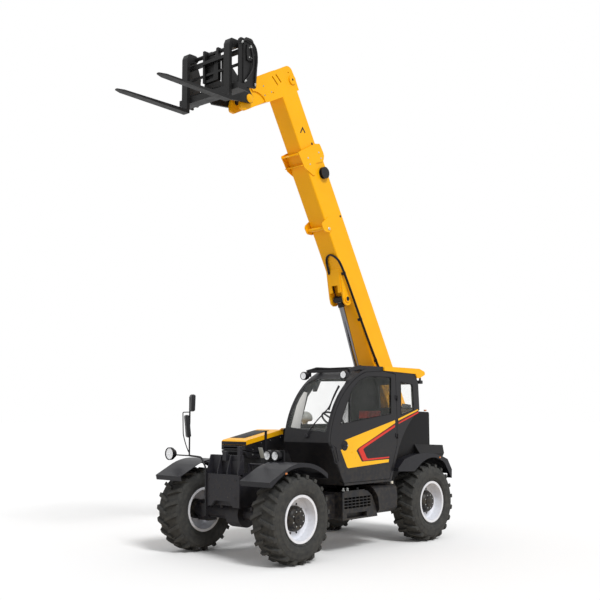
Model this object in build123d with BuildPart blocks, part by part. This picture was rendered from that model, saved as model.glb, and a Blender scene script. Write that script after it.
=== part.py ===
"""Telehandler with a raised telescopic boom, pallet forks, cab, side engine and four steered wheels.

Millimetres. +X forward, +Y to the machine's left, +Z up. The origin is on the ground,
under the middle of the whole machine's length, forks included, and on its centre line.
"""

from build123d import *
from math import cos, hypot, radians, sin, sqrt
import os

os.makedirs("parts", exist_ok=True)

# ---- driving dimensions -------------------------------------------------------------------
wheelbase = 3200
track = 1980
front_axle_x = 1000
rear_axle_x = front_axle_x - wheelbase

tyre_radius = 627          # out to the lug tips
tyre_half_width = 231
lug_height = 38
lug_count = 20
rim_bead_radius = 305
rim_half_width = 190
hub_radius = 178

running_fit = 0.05         # radial play of a shaft in its bore
seat_gap = 0.3             # play of faces that slide or turn on each other

kingpin_offset = 200       # kingpin inboard of the wheel's centre plane
kingpin_radius = 35
spindle_radius = 60

frame_half_width = 340
frame_plate = 20
frame_floor = 650
frame_deck = 1120
frame_front_x = 1350
frame_rear_x = -3020

boom_pivot_x = -2730
boom_pivot_z = 2100
boom_angle = 61
boom_width = 360
boom_depth = 470
boom_wall = 12
boom_tail = 260            # box behind the pivot
boom_length = 4900         # pivot to the outer section's front end
inner_width = 310
inner_depth = 400
inner_wall = 10
inner_rear = 2140          # rear end of the inner section, at rest
pivot_pin_radius = 50

eye_reach = 2335           # lift cylinder's eye, along the boom and below its centre line
eye_drop = 330
eye_radius = 55
lift_base_x = -2490
lift_base_z = 1000
lift_barrel_radius = 78
lift_rod_radius = 45
lift_barrel_length = 2000

carriage_reach = 5994      # carriage pivot, along the inner boom and below its centre line
carriage_drop = 1010
tilt_lead = 20             # tilt cylinder's base pin, further along the boom than the carriage pivot
tilt_height = 150          # and above the boom's centre line
tilt_arm = 231
tilt_arm_angle = 56        # of the tilt lever above the horizontal

fork_spread = 460          # centre line of each fork from the machine's
fork_width = 120
fork_thick = 55
fork_blade = 1250

cab_outer = 1120           # left face of the cab
cab_inner = 240
cab_skin = 40

wheel_corners = {
    "front_left": (front_axle_x, 1),
    "front_right": (front_axle_x, -1),
    "rear_left": (rear_axle_x, 1),
    "rear_right": (rear_axle_x, -1),
}
axle_z = tyre_radius
kingpin_y = track / 2 - kingpin_offset


# ---- planes and profiles ------------------------------------------------------------------
def side_plane(y):
    """Local x forward and y up, extruding to the right (-Y)."""
    return Plane(origin=(0, y, 0), x_dir=(1, 0, 0), z_dir=(0, -1, 0))


def front_plane(x):
    """Local x to the left and y up, extruding forward (+X)."""
    return Plane(origin=(x, 0, 0), x_dir=(0, 1, 0), z_dir=(1, 0, 0))


def boom_side(y):
    """Local x along the boom from its pivot, local y above its centre line, extruding to -Y."""
    along = (cos(radians(boom_angle)), 0, sin(radians(boom_angle)))
    return Plane(origin=(boom_pivot_x, y, boom_pivot_z), x_dir=along, z_dir=(0, -1, 0))


def boom_section(reach):
    """Across the boom at a distance from its pivot: local x to the left, local y to its top."""
    along = Vector(cos(radians(boom_angle)), 0, sin(radians(boom_angle)))
    centre = Vector(boom_pivot_x, 0, boom_pivot_z) + along * reach
    return Plane(origin=centre, x_dir=(0, 1, 0), z_dir=along)


def boom_point(reach, drop):
    """Side-view x and z of a point along the boom and below its centre line."""
    turn = radians(boom_angle)
    x = boom_pivot_x + reach * cos(turn) + drop * sin(turn)
    z = boom_pivot_z + reach * sin(turn) - drop * cos(turn)
    return x, z


def outline(plane, points, radius=0, grow=0.0):
    """Closed face through the points, with each corner rounded by its own or one radius."""
    with BuildSketch(plane) as sketch:
        with BuildLine():
            if radius:
                FilletPolyline(*points, radius=radius, close=True)
            else:
                Polyline(*points, close=True)
        make_face()
        if grow:
            offset(amount=grow, kind=Kind.INTERSECTION)
    return sketch.sketch


def arched(plane, points, vias, grow=0.0):
    """Closed face through the points; the side after each point listed in vias bulges through its via."""
    with BuildSketch(plane) as sketch:
        with BuildLine():
            for number, start in enumerate(points):
                end = points[(number + 1) % len(points)]
                if number in vias:
                    ThreePointArc(start, vias[number], end)
                else:
                    Line(start, end)
        make_face()
        if grow:
            offset(amount=grow, kind=Kind.INTERSECTION)
    return sketch.sketch


def plate(points, y_left, thickness, radius=0, mode=Mode.ADD, grow=0.0):
    """Upright plate along the machine, from y_left towards the right."""
    extrude(outline(side_plane(y_left), points, radius, grow), amount=thickness, mode=mode)


def boom_plate(points, y_left, thickness, radius=0, mode=Mode.ADD):
    """Plate along the boom, its points given as reach and height above the centre line."""
    extrude(outline(boom_side(y_left), points, radius), amount=thickness, mode=mode)


def block(x, y, z, mode=Mode.ADD):
    """Box between pairs of limits."""
    centre = (sum(x) / 2, sum(y) / 2, sum(z) / 2)
    with Locations(centre):
        Box(abs(x[1] - x[0]), abs(y[1] - y[0]), abs(z[1] - z[0]), mode=mode)


def rod_across(x, z, radius, y_left, y_right, mode=Mode.ADD):
    """Round bar or bore across the machine."""
    with BuildSketch(side_plane(y_left)) as sketch:
        with Locations((x, z)):
            Circle(radius)
    extrude(sketch.sketch, amount=y_left - y_right, mode=mode)


def disc_across(x, y, z, radius, depth, mode=Mode.ADD):
    """Round body that points forward from x."""
    with BuildSketch(front_plane(x)) as sketch:
        with Locations((y, z)):
            Circle(radius)
    extrude(sketch.sketch, amount=depth, mode=mode)


def save(part, name):
    part.label = name
    export_step(part, f"parts/{name}.step")


# ---- wheels: modelled about +Z, with +Z towards the outside of the machine ------------------
tread_radius = tyre_radius - lug_height
shoulder_half_width = tyre_half_width - 18

with BuildPart() as tyre_form:
    with BuildSketch(Plane.XZ):
        with BuildLine():
            Polyline(
                (rim_bead_radius, -rim_half_width + 12),
                (rim_bead_radius + 30, -rim_half_width + 2),
                (rim_bead_radius + 90, -tyre_half_width + 6),
                (rim_bead_radius + 150, -tyre_half_width),
                (tread_radius - 55, -shoulder_half_width - 4),
                (tread_radius - 22, -shoulder_half_width + 20),
                (tread_radius, 0),
                (tread_radius - 22, shoulder_half_width - 20),
                (tread_radius - 55, shoulder_half_width + 4),
                (rim_bead_radius + 150, tyre_half_width),
                (rim_bead_radius + 90, tyre_half_width - 6),
                (rim_bead_radius + 30, rim_half_width - 2),
                (rim_bead_radius, rim_half_width - 12),
                close=True,
            )
        make_face()
    revolve(axis=Axis.Z)

with BuildPart() as lug_form:
    with BuildSketch(Plane.YZ.offset(tread_radius - 40)):
        with BuildLine():
            Polyline((-46, -14), (-8, -14), (92, shoulder_half_width), (34, shoulder_half_width), close=True)
        make_face()
    extrude(amount=lug_height + 60)
    with BuildSketch(Plane.XZ) as band:
        with BuildLine():
            Polyline(
                (tread_radius - 30, -30),
                (tyre_radius, -30),
                (tyre_radius - 4, shoulder_half_width * 0.6),
                (tyre_radius - 20, shoulder_half_width - 12),
                (tread_radius - 40, shoulder_half_width + 2),
                (tread_radius - 60, shoulder_half_width - 20),
                close=True,
            )
        make_face()
    revolve(band.sketch, axis=Axis.Z, mode=Mode.INTERSECT)

with BuildPart() as tyre_with_lugs:
    add(tyre_form.part)
    with PolarLocations(0, lug_count):
        add(lug_form.part)
    with PolarLocations(0, lug_count, start_angle=180 / lug_count):
        add(mirror(lug_form.part, about=Plane.XY, mode=Mode.PRIVATE))

disc_outer = 42            # outer face of the wheel disc from the wheel's centre plane
disc_thick = 16
hub_outer = 142
spindle_face = -62         # hub's inboard face from the wheel's centre plane

bead_seat = rim_bead_radius - seat_gap
flange_radius = rim_bead_radius + 27
with BuildPart() as rim_form:
    with BuildSketch(Plane.XZ):
        with BuildLine():
            Polyline(
                (bead_seat, 12 - rim_half_width - seat_gap),
                (flange_radius, 1 - rim_half_width),
                (flange_radius, -10 - rim_half_width),
                (bead_seat - 8, -8 - rim_half_width),
                (bead_seat - 16, disc_outer - disc_thick),
                (hub_radius - 30, disc_outer - disc_thick),
                (hub_radius - 30, disc_outer),
                (bead_seat - 34, disc_outer),
                (bead_seat - 18, disc_outer + 24),
                (bead_seat - 8, rim_half_width + 8),
                (flange_radius, rim_half_width + 10),
                (flange_radius, rim_half_width - 1),
                (bead_seat, rim_half_width - 12 + seat_gap),
                close=True,
            )
        make_face()
    revolve(axis=Axis.Z)

with BuildPart() as hub_form:
    with BuildSketch(Plane.XZ):
        with BuildLine():
            Polyline(
                (0, spindle_face),
                (hub_radius - 48, spindle_face),
                (hub_radius - 30.5, spindle_face + 30),
                (hub_radius - 30.5, disc_outer + seat_gap),
                (hub_radius, disc_outer + seat_gap),
                (hub_radius, disc_outer + 40),
                (hub_radius - 18, hub_outer - 26),
                (hub_radius - 40, hub_outer),
                (0, hub_outer),
                close=True,
            )
        make_face()
    revolve(axis=Axis.Z)
    with BuildSketch(Plane.XY.offset(spindle_face)):
        Circle(spindle_radius + running_fit)
    extrude(amount=100, mode=Mode.SUBTRACT)

with BuildPart() as knuckle_form:
    # local origin on the kingpin at axle height, +Z outwards, +X along the machine, Y along the pin
    with BuildSketch(Plane.XZ.offset(-100)):
        Circle(100)
    extrude(amount=200)
    with BuildSketch(Plane.XZ.offset(-150)):
        Circle(kingpin_radius)
    extrude(amount=300)
    with BuildSketch(Plane.XY):
        Circle(95)
    extrude(amount=kingpin_offset + spindle_face - seat_gap)
    with BuildSketch(Plane.XY.offset(100)):
        Circle(spindle_radius)
    extrude(amount=kingpin_offset + spindle_face + 95 - 100)

for corner, (axle_x, side) in wheel_corners.items():
    wheel_plane = Plane(origin=(axle_x, side * track / 2, axle_z), x_dir=(1, 0, 0), z_dir=(0, side, 0))
    pin_plane = Plane(origin=(axle_x, side * kingpin_y, axle_z), x_dir=(1, 0, 0), z_dir=(0, side, 0))
    with BuildPart(wheel_plane) as tyre:
        add(tyre_with_lugs.part)
    with BuildPart(wheel_plane) as rim:
        add(rim_form.part)
    with BuildPart(wheel_plane) as hub:
        add(hub_form.part)
    with BuildPart(pin_plane) as knuckle:
        add(knuckle_form.part)
    save(tyre.part, f"tyre_{corner}")
    save(rim.part, f"rim_{corner}")
    save(hub.part, f"hub_{corner}")
    save(knuckle.part, f"knuckle_{corner}")

# ---- axles --------------------------------------------------------------------------------
yoke_y = kingpin_y - 115   # outboard face of the yoke's web
for end, axle_x in (("front", front_axle_x), ("rear", rear_axle_x)):
    with BuildPart() as axle:
        rod_across(axle_x, axle_z, 100, yoke_y, -yoke_y)
        rod_across(axle_x, axle_z, 200, 130, -130)
        for side in (1, -1):
            yoke_height = (axle_z - 150, axle_z + 150)
            block((axle_x - 90, axle_x + 90), (side * (yoke_y - 60), side * yoke_y), yoke_height)
            for low, high in ((-150, -105), (105, 150)):
                block(
                    (axle_x - 70, axle_x + 70),
                    (side * (yoke_y - 60), side * (kingpin_y + 70)),
                    (axle_z + low, axle_z + high),
                )
            with Locations((axle_x, side * kingpin_y, axle_z)):
                Cylinder(kingpin_radius + running_fit, 320, mode=Mode.SUBTRACT)
            block(
                (axle_x - 110, axle_x + 110),
                (side * (frame_half_width - frame_plate - 30), side * frame_half_width),
                (axle_z + 60, axle_z + 115),
            )
    save(axle.part, f"{end}_axle")

# ---- chassis ------------------------------------------------------------------------------
saddle_z = axle_z + 115
frame_side = [
    (frame_front_x, frame_floor + 90),
    (front_axle_x + 260, frame_floor + 90),
    (front_axle_x + 200, saddle_z),
    (front_axle_x - 200, saddle_z),
    (front_axle_x - 300, frame_floor),
    (rear_axle_x + 300, frame_floor),
    (rear_axle_x + 200, saddle_z),
    (rear_axle_x - 200, saddle_z),
    (rear_axle_x - 260, frame_floor + 40),
    (frame_rear_x, frame_floor + 40),
    (frame_rear_x, 1300),
    (boom_pivot_x - 130, boom_pivot_z - 80),
    (boom_pivot_x - 130, boom_pivot_z + 110),
    (boom_pivot_x + 110, boom_pivot_z + 130),
    (-2200, 1500),
    (-1700, frame_deck),
    (frame_front_x, frame_deck + 60),
]
with BuildPart() as chassis_frame:
    for y_left in (frame_half_width, -frame_half_width + frame_plate):
        plate(frame_side, y_left, frame_plate)
    inner_face = frame_half_width - frame_plate
    for x_back, z_low, z_high in ((1290, 760, 1100), (-200, 680, 900), (-1500, 680, 900), (-3000, 760, 1250)):
        block((x_back, x_back + 20), (-inner_face, inner_face), (z_low, z_high))
    block((-3000, -2600), (-inner_face, inner_face), (1250, 1270))
    rod_across(boom_pivot_x, boom_pivot_z, pivot_pin_radius, frame_half_width + 25, -frame_half_width - 25)
    rod_across(lift_base_x, lift_base_z, 45, frame_half_width + 15, -frame_half_width - 15)
save(chassis_frame.part, "chassis_frame")

with BuildPart() as front_plate:
    with BuildSketch(front_plane(frame_front_x)):
        with BuildLine():
            Polyline(
                (-360, 750), (-230, 750), (-150, 830), (150, 830), (230, 750), (360, 750),
                (360, 1180), (320, 1210), (-320, 1210), (-360, 1180), close=True,
            )
        make_face()
        with Locations((0, 1010)):
            with GridLocations(560, 240, 2, 2):
                Circle(17, mode=Mode.SUBTRACT)
    extrude(amount=40)
save(front_plate.part, "front_plate")

gusset_foot = 1210.3
with BuildPart() as nose_gussets:
    for y_left in (330, 110, -90, -310):
        plate([(1290, gusset_foot), (1388, gusset_foot), (1388, 1250), (1316, 1480), (1290, 1480)], y_left, 20)
    block((1270, 1290), (-330, 330), (gusset_foot - 30, 1480))
    block((1291, 1306), (120, 300), (gusset_foot, 1400))
    block((1290, 1340), (262, 322), (gusset_foot, 1610))
    block((1290, 1330), (-60, 20), (1400, 1530))
save(nose_gussets.part, "nose_gussets")

weight_side = [(-3060, 700), (-2980, 620), (-2900, 620), (-2900, 1240), (-3060, 1240)]
with BuildPart() as counterweight:
    plate(weight_side, 640, 640 - frame_half_width - seat_gap)
    mirror(about=Plane.XZ)
save(counterweight.part, "counterweight")


# ---- engine bay and hood (right side) ---------------------------------------------------------
bay_x = (-1400, 240)
bay_y = (-900, -frame_half_width - seat_gap)
bay_z = (700, 1440)
with BuildPart() as engine_bay:
    block(bay_x, bay_y, bay_z)
    block(
        (bay_x[0] + 8, bay_x[1] - 8), (bay_y[0] + 8, bay_y[1] - 8), (bay_z[0] + 8, bay_z[1] + 1),
        mode=Mode.SUBTRACT,
    )
    with BuildSketch(side_plane(bay_y[0] + 20)) as slots:
        with Locations((-900, 1100)):
            with GridLocations(0, 60, 1, 9):
                Rectangle(620, 26)
    extrude(slots.sketch, amount=40, mode=Mode.SUBTRACT)
save(engine_bay.part, "engine_bay")

with BuildPart() as engine:
    block((-1250, 100), (-820, -400), (820, 1400))
    for y in (-760, -500):
        block((-1200, 50), (y, y + 50), (bay_z[0] + 8 + seat_gap, 820))
save(engine.part, "engine")

hood_seam = bay_z[1] + seat_gap
hood_skin = 8
lid_gap = 6
hood_left = bay_y[1] - 6.7
hood_right = -890
hood_side = [
    (570, hood_seam + 70), (570, 1640), (540, 1662), (-240, 1812), (-900, 1790),
    (-1420, 1700), (-1420, hood_seam), (240, hood_seam),
]
hood_radius = [6, 20, 20, 120, 120, 60, 1, 40]      # one for each corner above
lid_line = [(700, 1560), (560, 1590), (-240, 1738), (-900, 1712), (-1500, 1612)]
hinge_y, hinge_z = bay_y[1] + 9.3, 1826
hinge_pin = 5
hood_hinges = (-800, -300)


def hood_face(y, shrink=0.0):
    return outline(side_plane(y), hood_side, hood_radius, -shrink)


def below_lid(margin):
    """Everything that lies lower than the lid's edge, by a margin."""
    line = [(x, z - margin) for x, z in lid_line]
    return outline(side_plane(0), line + [(-1500, 1300), (700, 1300)])


with BuildPart() as hood_shell:
    extrude(hood_face(hood_left), amount=hood_left - hood_right)
    extrude(
        hood_face(hood_left - hood_skin, hood_skin), amount=hood_left - hood_right - 2 * hood_skin,
        mode=Mode.SUBTRACT,
    )
    block(
        (bay_x[0] + 8, bay_x[1] - 20), (hood_right + hood_skin, hood_left + 1), (hood_seam - 1, hood_seam + 20),
        mode=Mode.SUBTRACT,
    )

with BuildPart() as hood:
    add(hood_shell.part)
    extrude(below_lid(0), amount=1000, mode=Mode.SUBTRACT)
    for x in hood_hinges:
        with BuildSketch(front_plane(x + 30 + seat_gap)) as leaf:
            with Locations((hinge_y, hinge_z)):
                Circle(2 * hinge_pin + 1)
            with Locations((hinge_y - 20, hinge_z - 6)):
                Rectangle(40, 8)
            with Locations((hinge_y - 30, hinge_z - 25)):
                Rectangle(20, 40)
        extrude(leaf.sketch, amount=50)
        with BuildSketch(front_plane(x)) as pin_hole:
            with Locations((hinge_y, hinge_z)):
                Circle(hinge_pin + running_fit)
        extrude(pin_hole.sketch, amount=100, mode=Mode.SUBTRACT)
save(hood.part, "hood")

with BuildPart() as hood_skirt:
    add(hood_shell.part)
    extrude(below_lid(seat_gap), amount=1000, mode=Mode.INTERSECT)
    block((-1500, 700), (hood_left - hood_skin - 1, hood_left + 1), (1400, 1800), mode=Mode.SUBTRACT)
    for z_low in (1490, 1535, 1580):
        block((561, 571), (-840, -420), (z_low, z_low + 22), mode=Mode.SUBTRACT)
save(hood_skirt.part, "hood_skirt")

with BuildPart() as bay_wall:
    extrude(hood_face(bay_y[1]), amount=8)
    extrude(below_lid(lid_gap), amount=1000, mode=Mode.INTERSECT)
    block((240, 600), (bay_y[1] - 20, bay_y[1] + 1), (1400, 1470), mode=Mode.SUBTRACT)
    for x in hood_hinges:
        block((x, x + 30), (bay_y[1], hinge_y + 9), (1620, hinge_z - 9))
        with BuildSketch(front_plane(x)) as lug:
            with Locations((hinge_y, hinge_z)):
                Circle(2 * hinge_pin + 1)
        extrude(lug.sketch, amount=30)
        with BuildSketch(front_plane(x)) as pin:
            with Locations((hinge_y, hinge_z)):
                Circle(hinge_pin)
        extrude(pin.sketch, amount=80)
save(bay_wall.part, "bay_wall")

cleaner_x, cleaner_y = -1295, -790
with BuildPart() as cleaner_form:
    with BuildSketch(Plane.XZ):
        with BuildLine():
            Polyline((30, 2098), (0, 2098), (0, 1600), (48, 1600), (48, 1905), (60, 1925), (118, 1932), (137, 1962))
            ThreePointArc((137, 1962), (110, 2052), (30, 2098))
        make_face()
    revolve(axis=Axis.Z)
with BuildPart() as hood_top:
    plate([(-1600, 1400), (-1600, 1669.2), (-900, 1790.4), (-900, 1400)], -600, 400)
with BuildPart(Plane(origin=(cleaner_x, cleaner_y, 0), x_dir=(1, 0, 0), z_dir=(0, 0, 1))) as cleaner_placed:
    add(cleaner_form.part)
with BuildPart() as air_cleaner:
    add(cleaner_placed.part)
    add(hood_top.part, mode=Mode.SUBTRACT)
save(air_cleaner.part, "air_cleaner")

# ---- tank cover and step box between the left wheels -------------------------------------------
tank_side = [(-712, 987), (-837, 829), (-895, 624), (-918, 500), (-1352, 500), (-1352, 987)]
tank_section = [(340.3, 965), (1050, 972), (1096, 915), (1112, 760), (1096, 600), (1040, 540), (340.3, 535)]
with BuildPart() as tank:
    with BuildSketch(front_plane(-1350)) as section:
        with BuildLine():
            FilletPolyline(*tank_section, radius=[1, 40, 60, 200, 60, 40, 1], close=True)
        make_face()
    extrude(section.sketch, amount=640)
    extrude(outline(side_plane(1200), tank_side), amount=1000, mode=Mode.INTERSECT)
save(tank.part, "tank")

step_face = 1052
step_side = [(-62, 500), (-62, 905), (-654, 905), (-770, 829), (-885, 624), (-905, 500)]
with BuildPart() as step_box:
    plate(step_side, step_face, step_face - frame_half_width - seat_gap)
    with BuildSketch(side_plane(step_face + 1)) as grille:
        with Locations((-420, 745)):
            with GridLocations(92, 44, 7, 4):
                Rectangle(80, 30)
        with Locations((-400, 560)):
            Rectangle(480, 70)
    extrude(grille.sketch, amount=90, mode=Mode.SUBTRACT)
    block((-70, 60), (frame_half_width + seat_gap, 900), (520, 760))
    block((-70, 150), (860, 900), (520, 880))
    block((-600, -90), (980, 1050), (900, 925))
save(step_box.part, "step_box")

# ---- fenders ------------------------------------------------------------------------------
fender_skin = 8
fender_outer = 1190
front_crown = {"centre": (960, 492), "radius": 900}
rear_crown = {"centre": (-2000, -588), "radius": 2008}


def crown_point(crown, x, inset=0.0):
    """Point on a fender's top arc, or at that inset under it."""
    reach = crown["radius"] - inset
    run = (x - crown["centre"][0]) * reach / crown["radius"]
    return crown["centre"][0] + run, crown["centre"][1] + sqrt(reach ** 2 - run ** 2)


front_top = [
    (430, 900), crown_point(front_crown, 430), crown_point(front_crown, 1317), (1640, 1160), (1622, 1095),
    (1622, 900),
]
front_foot = [
    (380, 880), (380, 1120), (438, 1154), (1285, 1287), (1463, 1189), (1594, 1095), (1700, 1080), (1700, 880),
]
rear_top = [
    (-1268, 900), (-1285, 1215), crown_point(rear_crown, -1452), crown_point(rear_crown, -2694),
    (-2815, 1120), (-2806, 900),
]
rear_foot = [
    (-1200, 880), (-1200, 1165), (-1258, 1163), (-1720, 1142), (-1910, 1255), (-2600, 1240), (-2736, 1060),
    (-2790, 985), (-2850, 960), (-2850, 880),
]


rear_vias = {2: crown_point(rear_crown, -2000)}


def fender(top, top_vias, foot, foot_vias, y_inner):
    """Left fender: an outer wall and a top skin, each above the foot line."""
    outer = arched(side_plane(fender_outer), top, top_vias)
    inner = arched(side_plane(fender_outer - fender_skin), top, top_vias, -fender_skin)
    below = arched(side_plane(fender_outer + 1), foot, foot_vias)
    extrude(outer, amount=fender_outer - y_inner)
    extrude(inner, amount=fender_outer - fender_skin - y_inner + 1, mode=Mode.SUBTRACT)
    extrude(below, amount=fender_outer - y_inner + 2, mode=Mode.SUBTRACT)


front_inner = 620
rear_inner = 700
tail_notch = (1100, 1050)    # rear skin stops above this height, inboard of this y: the steered tyre passes
with BuildPart() as front_fenders:
    fender(front_top, {1: crown_point(front_crown, 900)}, front_foot, {2: (930, 1333)}, front_inner)
    mirror(about=Plane.XZ)
save(front_fenders.part, "front_fenders")
with BuildPart() as rear_fenders:
    fender(rear_top, rear_vias, rear_foot, {4: (-2250, 1340)}, rear_inner)
    block((-2850, -2770), (rear_inner - 1, tail_notch[0]), (900, tail_notch[1]), mode=Mode.SUBTRACT)
    mirror(about=Plane.XZ)
    block((-1430, -1200), (-1250, -600), (900, 1500), mode=Mode.SUBTRACT)
save(rear_fenders.part, "rear_fenders")

tube_radius = 18
with BuildPart() as fender_brackets:
    for crown, stations, root in (
        (front_crown, (780, 1140), frame_half_width - frame_plate - seat_gap),
        (rear_crown, (-2250, -2560), frame_half_width + seat_gap),
    ):
        for station in stations:
            x, z = crown_point(crown, station, fender_skin + seat_gap + tube_radius)
            rod_across(x, z, tube_radius, 1150, root)
            if root < frame_half_width:
                block((x - 40, x + 40), (root - 15, root), (1000, z + tube_radius))
    mirror(about=Plane.XZ)
save(fender_brackets.part, "fender_brackets")

# ---- lamps on the left fender ------------------------------------------------------------------
lamp_back = 880
lamp_radius = 72
lamp_foot = crown_point(front_crown, lamp_back)[1] + seat_gap
with BuildPart() as headlamps:
    block((lamp_back - 20, lamp_back), (425, 745), (lamp_foot, 1552))
    for y in (505, 662):
        disc_across(lamp_back, y, 1475, lamp_radius - 14, 50)
        disc_across(lamp_back + 35, y, 1475, lamp_radius, 65)
        disc_across(lamp_back + 88, y, 1475, lamp_radius - 9, 20, mode=Mode.SUBTRACT)
save(headlamps.part, "headlamps")

# ---- mast with mirrors and work lamp on the front right ------------------------------------------
mast_radius = 14
mast_x = frame_front_x + 40 + mast_radius + seat_gap
mast_y = -700
mast_route = [(-330, 600), (-330, 1290), (-450, 1440), (mast_y, 1452)]
with BuildPart() as mirror_mast:
    with BuildSketch(Plane.XY.offset(1440)) as pole:
        with Locations((mast_x, mast_y)):
            Circle(mast_radius)
    extrude(pole.sketch, amount=910)
    for start, end in zip(mast_route, mast_route[1:]):
        run = hypot(end[0] - start[0], end[1] - start[1])
        way = (0, (end[0] - start[0]) / run, (end[1] - start[1]) / run)
        with BuildSketch(Plane(origin=(mast_x, start[0], start[1]), x_dir=(1, 0, 0), z_dir=way)) as bar:
            Circle(mast_radius)
        extrude(bar.sketch, amount=run)
        with Locations((mast_x, end[0], end[1])):
            Sphere(mast_radius + 3)
    rod_across(mast_x, 1452, mast_radius - 4, mast_y, -1060)
    disc_across(mast_x - 70, -1110, 1470, 50, 90)
    disc_across(mast_x - 10, -1110, 1470, 74, 60)
    disc_across(mast_x + 38, -1110, 1470, 65, 20, mode=Mode.SUBTRACT)
    rod_across(mast_x, 1470, 20, -1050, -1080)
    for y, z, wide, tall in ((-790, 1890, 170, 340), (-770, 2240, 200, 260)):
        with BuildSketch(front_plane(mast_x - 30)) as housing:
            with Locations((y, z)):
                RectangleRounded(wide, tall, 45)
        extrude(housing.sketch, amount=50)
        rod_across(mast_x, z, 9, mast_y, y)
save(mirror_mast.part, "mirror_mast")

# ---- cab ------------------------------------------------------------------------------
door_back = -1358          # door's rear edge, beside the hinge line
door_foot = 1056
roof_under = 2727
cab_foot = 1015
pillar = 50                # cab frame round each opening, seen from the side
cab_floor = cab_foot + pillar
door_hinge_x = door_back - 4
door_hinge_y = cab_outer + 13
door_hinges = (1700, 2300)
seam = 8
glass = 6
glass_inset = 10

door_side = [
    (-12, door_foot), (290, 1660), (-560, roof_under - 30), (-1000, roof_under), (door_back + 25, roof_under - 40),
    (door_back, 1980), (door_back + 10, 1575), (-1137, door_foot),
]
door_vias = {1: (55, 2265)}
shell_side = [
    (-30, cab_foot), (338, 1650), (-560, roof_under + 25), (-1880, roof_under - 20), (-1965, 2560),
    (-1990, 2120), (-1390, 1500), (-1185, cab_foot),
]
shell_vias = {1: (95, 2295), 5: (-1590, 1800)}
door_window = [(54, 1915), (-6, 2054), (-227, 2437), (-420, 2580), (-618, 2640), (-1218, 2640), (-1204, 2059)]
door_window_radius = [30, 200, 300, 200, 100, 40, 40]
divider = (-190, -170)
quarter_window = [(-1474, 2570), (-1807, 2530), (-1830, 2123), (-1472, 2045)]
inner_window = [(0, 1900), (-170, 2330), (-420, 2580), (-1250, 2600), (-1250, 1900)]
rear_window_y = (cab_inner + 90, cab_outer - 90)
rear_window_z = (2160, 2540)
windscreen = [(cab_inner + 50, 1865), (cab_outer - 50, 1800), (cab_outer - 50, 2600), (cab_inner + 50, 2600)]
windscreen_radius = [40, 40, 110, 110]
windscreen_back = -420


def shell_face(y, grow=0.0):
    """The cab's side outline, from its floor round the windscreen and roof to the rear window."""
    return arched(side_plane(y), shell_side, shell_vias, grow)


with BuildPart() as cab_shell:
    extrude(shell_face(cab_outer), amount=cab_outer - cab_inner)
    cab_inside = cab_outer - cab_inner - 2 * cab_skin
    extrude(shell_face(cab_outer - cab_skin, -pillar), amount=cab_inside, mode=Mode.SUBTRACT)
    doorway = arched(side_plane(cab_outer + 1), door_side, door_vias, seam)
    extrude(doorway, amount=cab_skin + 2, mode=Mode.SUBTRACT)
    plate(quarter_window, cab_outer + 1, cab_skin + 2, radius=30, mode=Mode.SUBTRACT)
    plate(inner_window, cab_inner + cab_skin + 1, cab_skin + 2, radius=40, mode=Mode.SUBTRACT)
    screen_hole = outline(front_plane(windscreen_back), windscreen, windscreen_radius)
    extrude(screen_hole, amount=800, mode=Mode.SUBTRACT)
    block((-2100, -1850), rear_window_y, rear_window_z, mode=Mode.SUBTRACT)
    beside_frame = (cab_inner - 1, frame_half_width + seat_gap)
    block((-2100, 400), beside_frame, (1000, frame_deck + 90), mode=Mode.SUBTRACT)
    for z in door_hinges:
        with BuildSketch(Plane.XY.offset(z - 30 - seat_gap)) as lug:
            with Locations((door_hinge_x, door_hinge_y)):
                Circle(12)
            with Locations((door_hinge_x - 25, cab_outer + 3)):
                Rectangle(50, 6)
        extrude(lug.sketch, amount=30)
        with BuildSketch(Plane.XY.offset(z - 30)) as pin:
            with Locations((door_hinge_x, door_hinge_y)):
                Circle(6)
        extrude(pin.sketch, amount=80)
save(cab_shell.part, "cab_shell")

with BuildPart() as windscreen_pane:
    extrude(shell_face(cab_outer, 4 - glass_inset), amount=cab_outer - cab_inner)
    extrude(shell_face(cab_outer, 4 - glass_inset - glass), amount=cab_outer - cab_inner, mode=Mode.SUBTRACT)
    extrude(
        outline(front_plane(windscreen_back), windscreen, windscreen_radius, -seat_gap), amount=800,
        mode=Mode.INTERSECT,
    )
with BuildPart() as cab_glass:
    add(windscreen_pane.part)
    plate(quarter_window, cab_outer - glass_inset, glass, radius=30, grow=-seat_gap)
    plate(inner_window, cab_inner + glass_inset + glass, glass, radius=40, grow=-seat_gap)
    block(
        (-1960, -1960 + glass),
        (rear_window_y[0] + seat_gap, rear_window_y[1] - seat_gap),
        (rear_window_z[0] + seat_gap, rear_window_z[1] - seat_gap),
    )
save(cab_glass.part, "cab_glass")

with BuildPart() as door:
    extrude(arched(side_plane(cab_outer), door_side, door_vias), amount=cab_skin)
    plate(door_window, cab_outer + 1, cab_skin + 2, radius=door_window_radius, mode=Mode.SUBTRACT)
    block(divider, (cab_outer - cab_skin + 4, cab_outer - 4), (1940, 2445))
    for z in door_hinges:
        with BuildSketch(Plane.XY.offset(z)) as knuckle_ring:
            with Locations((door_hinge_x, door_hinge_y)):
                Circle(12)
            with Locations((door_hinge_x + 25, cab_outer + 3)):
                Rectangle(50, 6)
        extrude(knuckle_ring.sketch, amount=50)
        with BuildSketch(Plane.XY.offset(z - 1)) as pin_hole:
            with Locations((door_hinge_x, door_hinge_y)):
                Circle(6 + running_fit)
        extrude(pin_hole.sketch, amount=52, mode=Mode.SUBTRACT)
save(door.part, "door")

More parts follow.
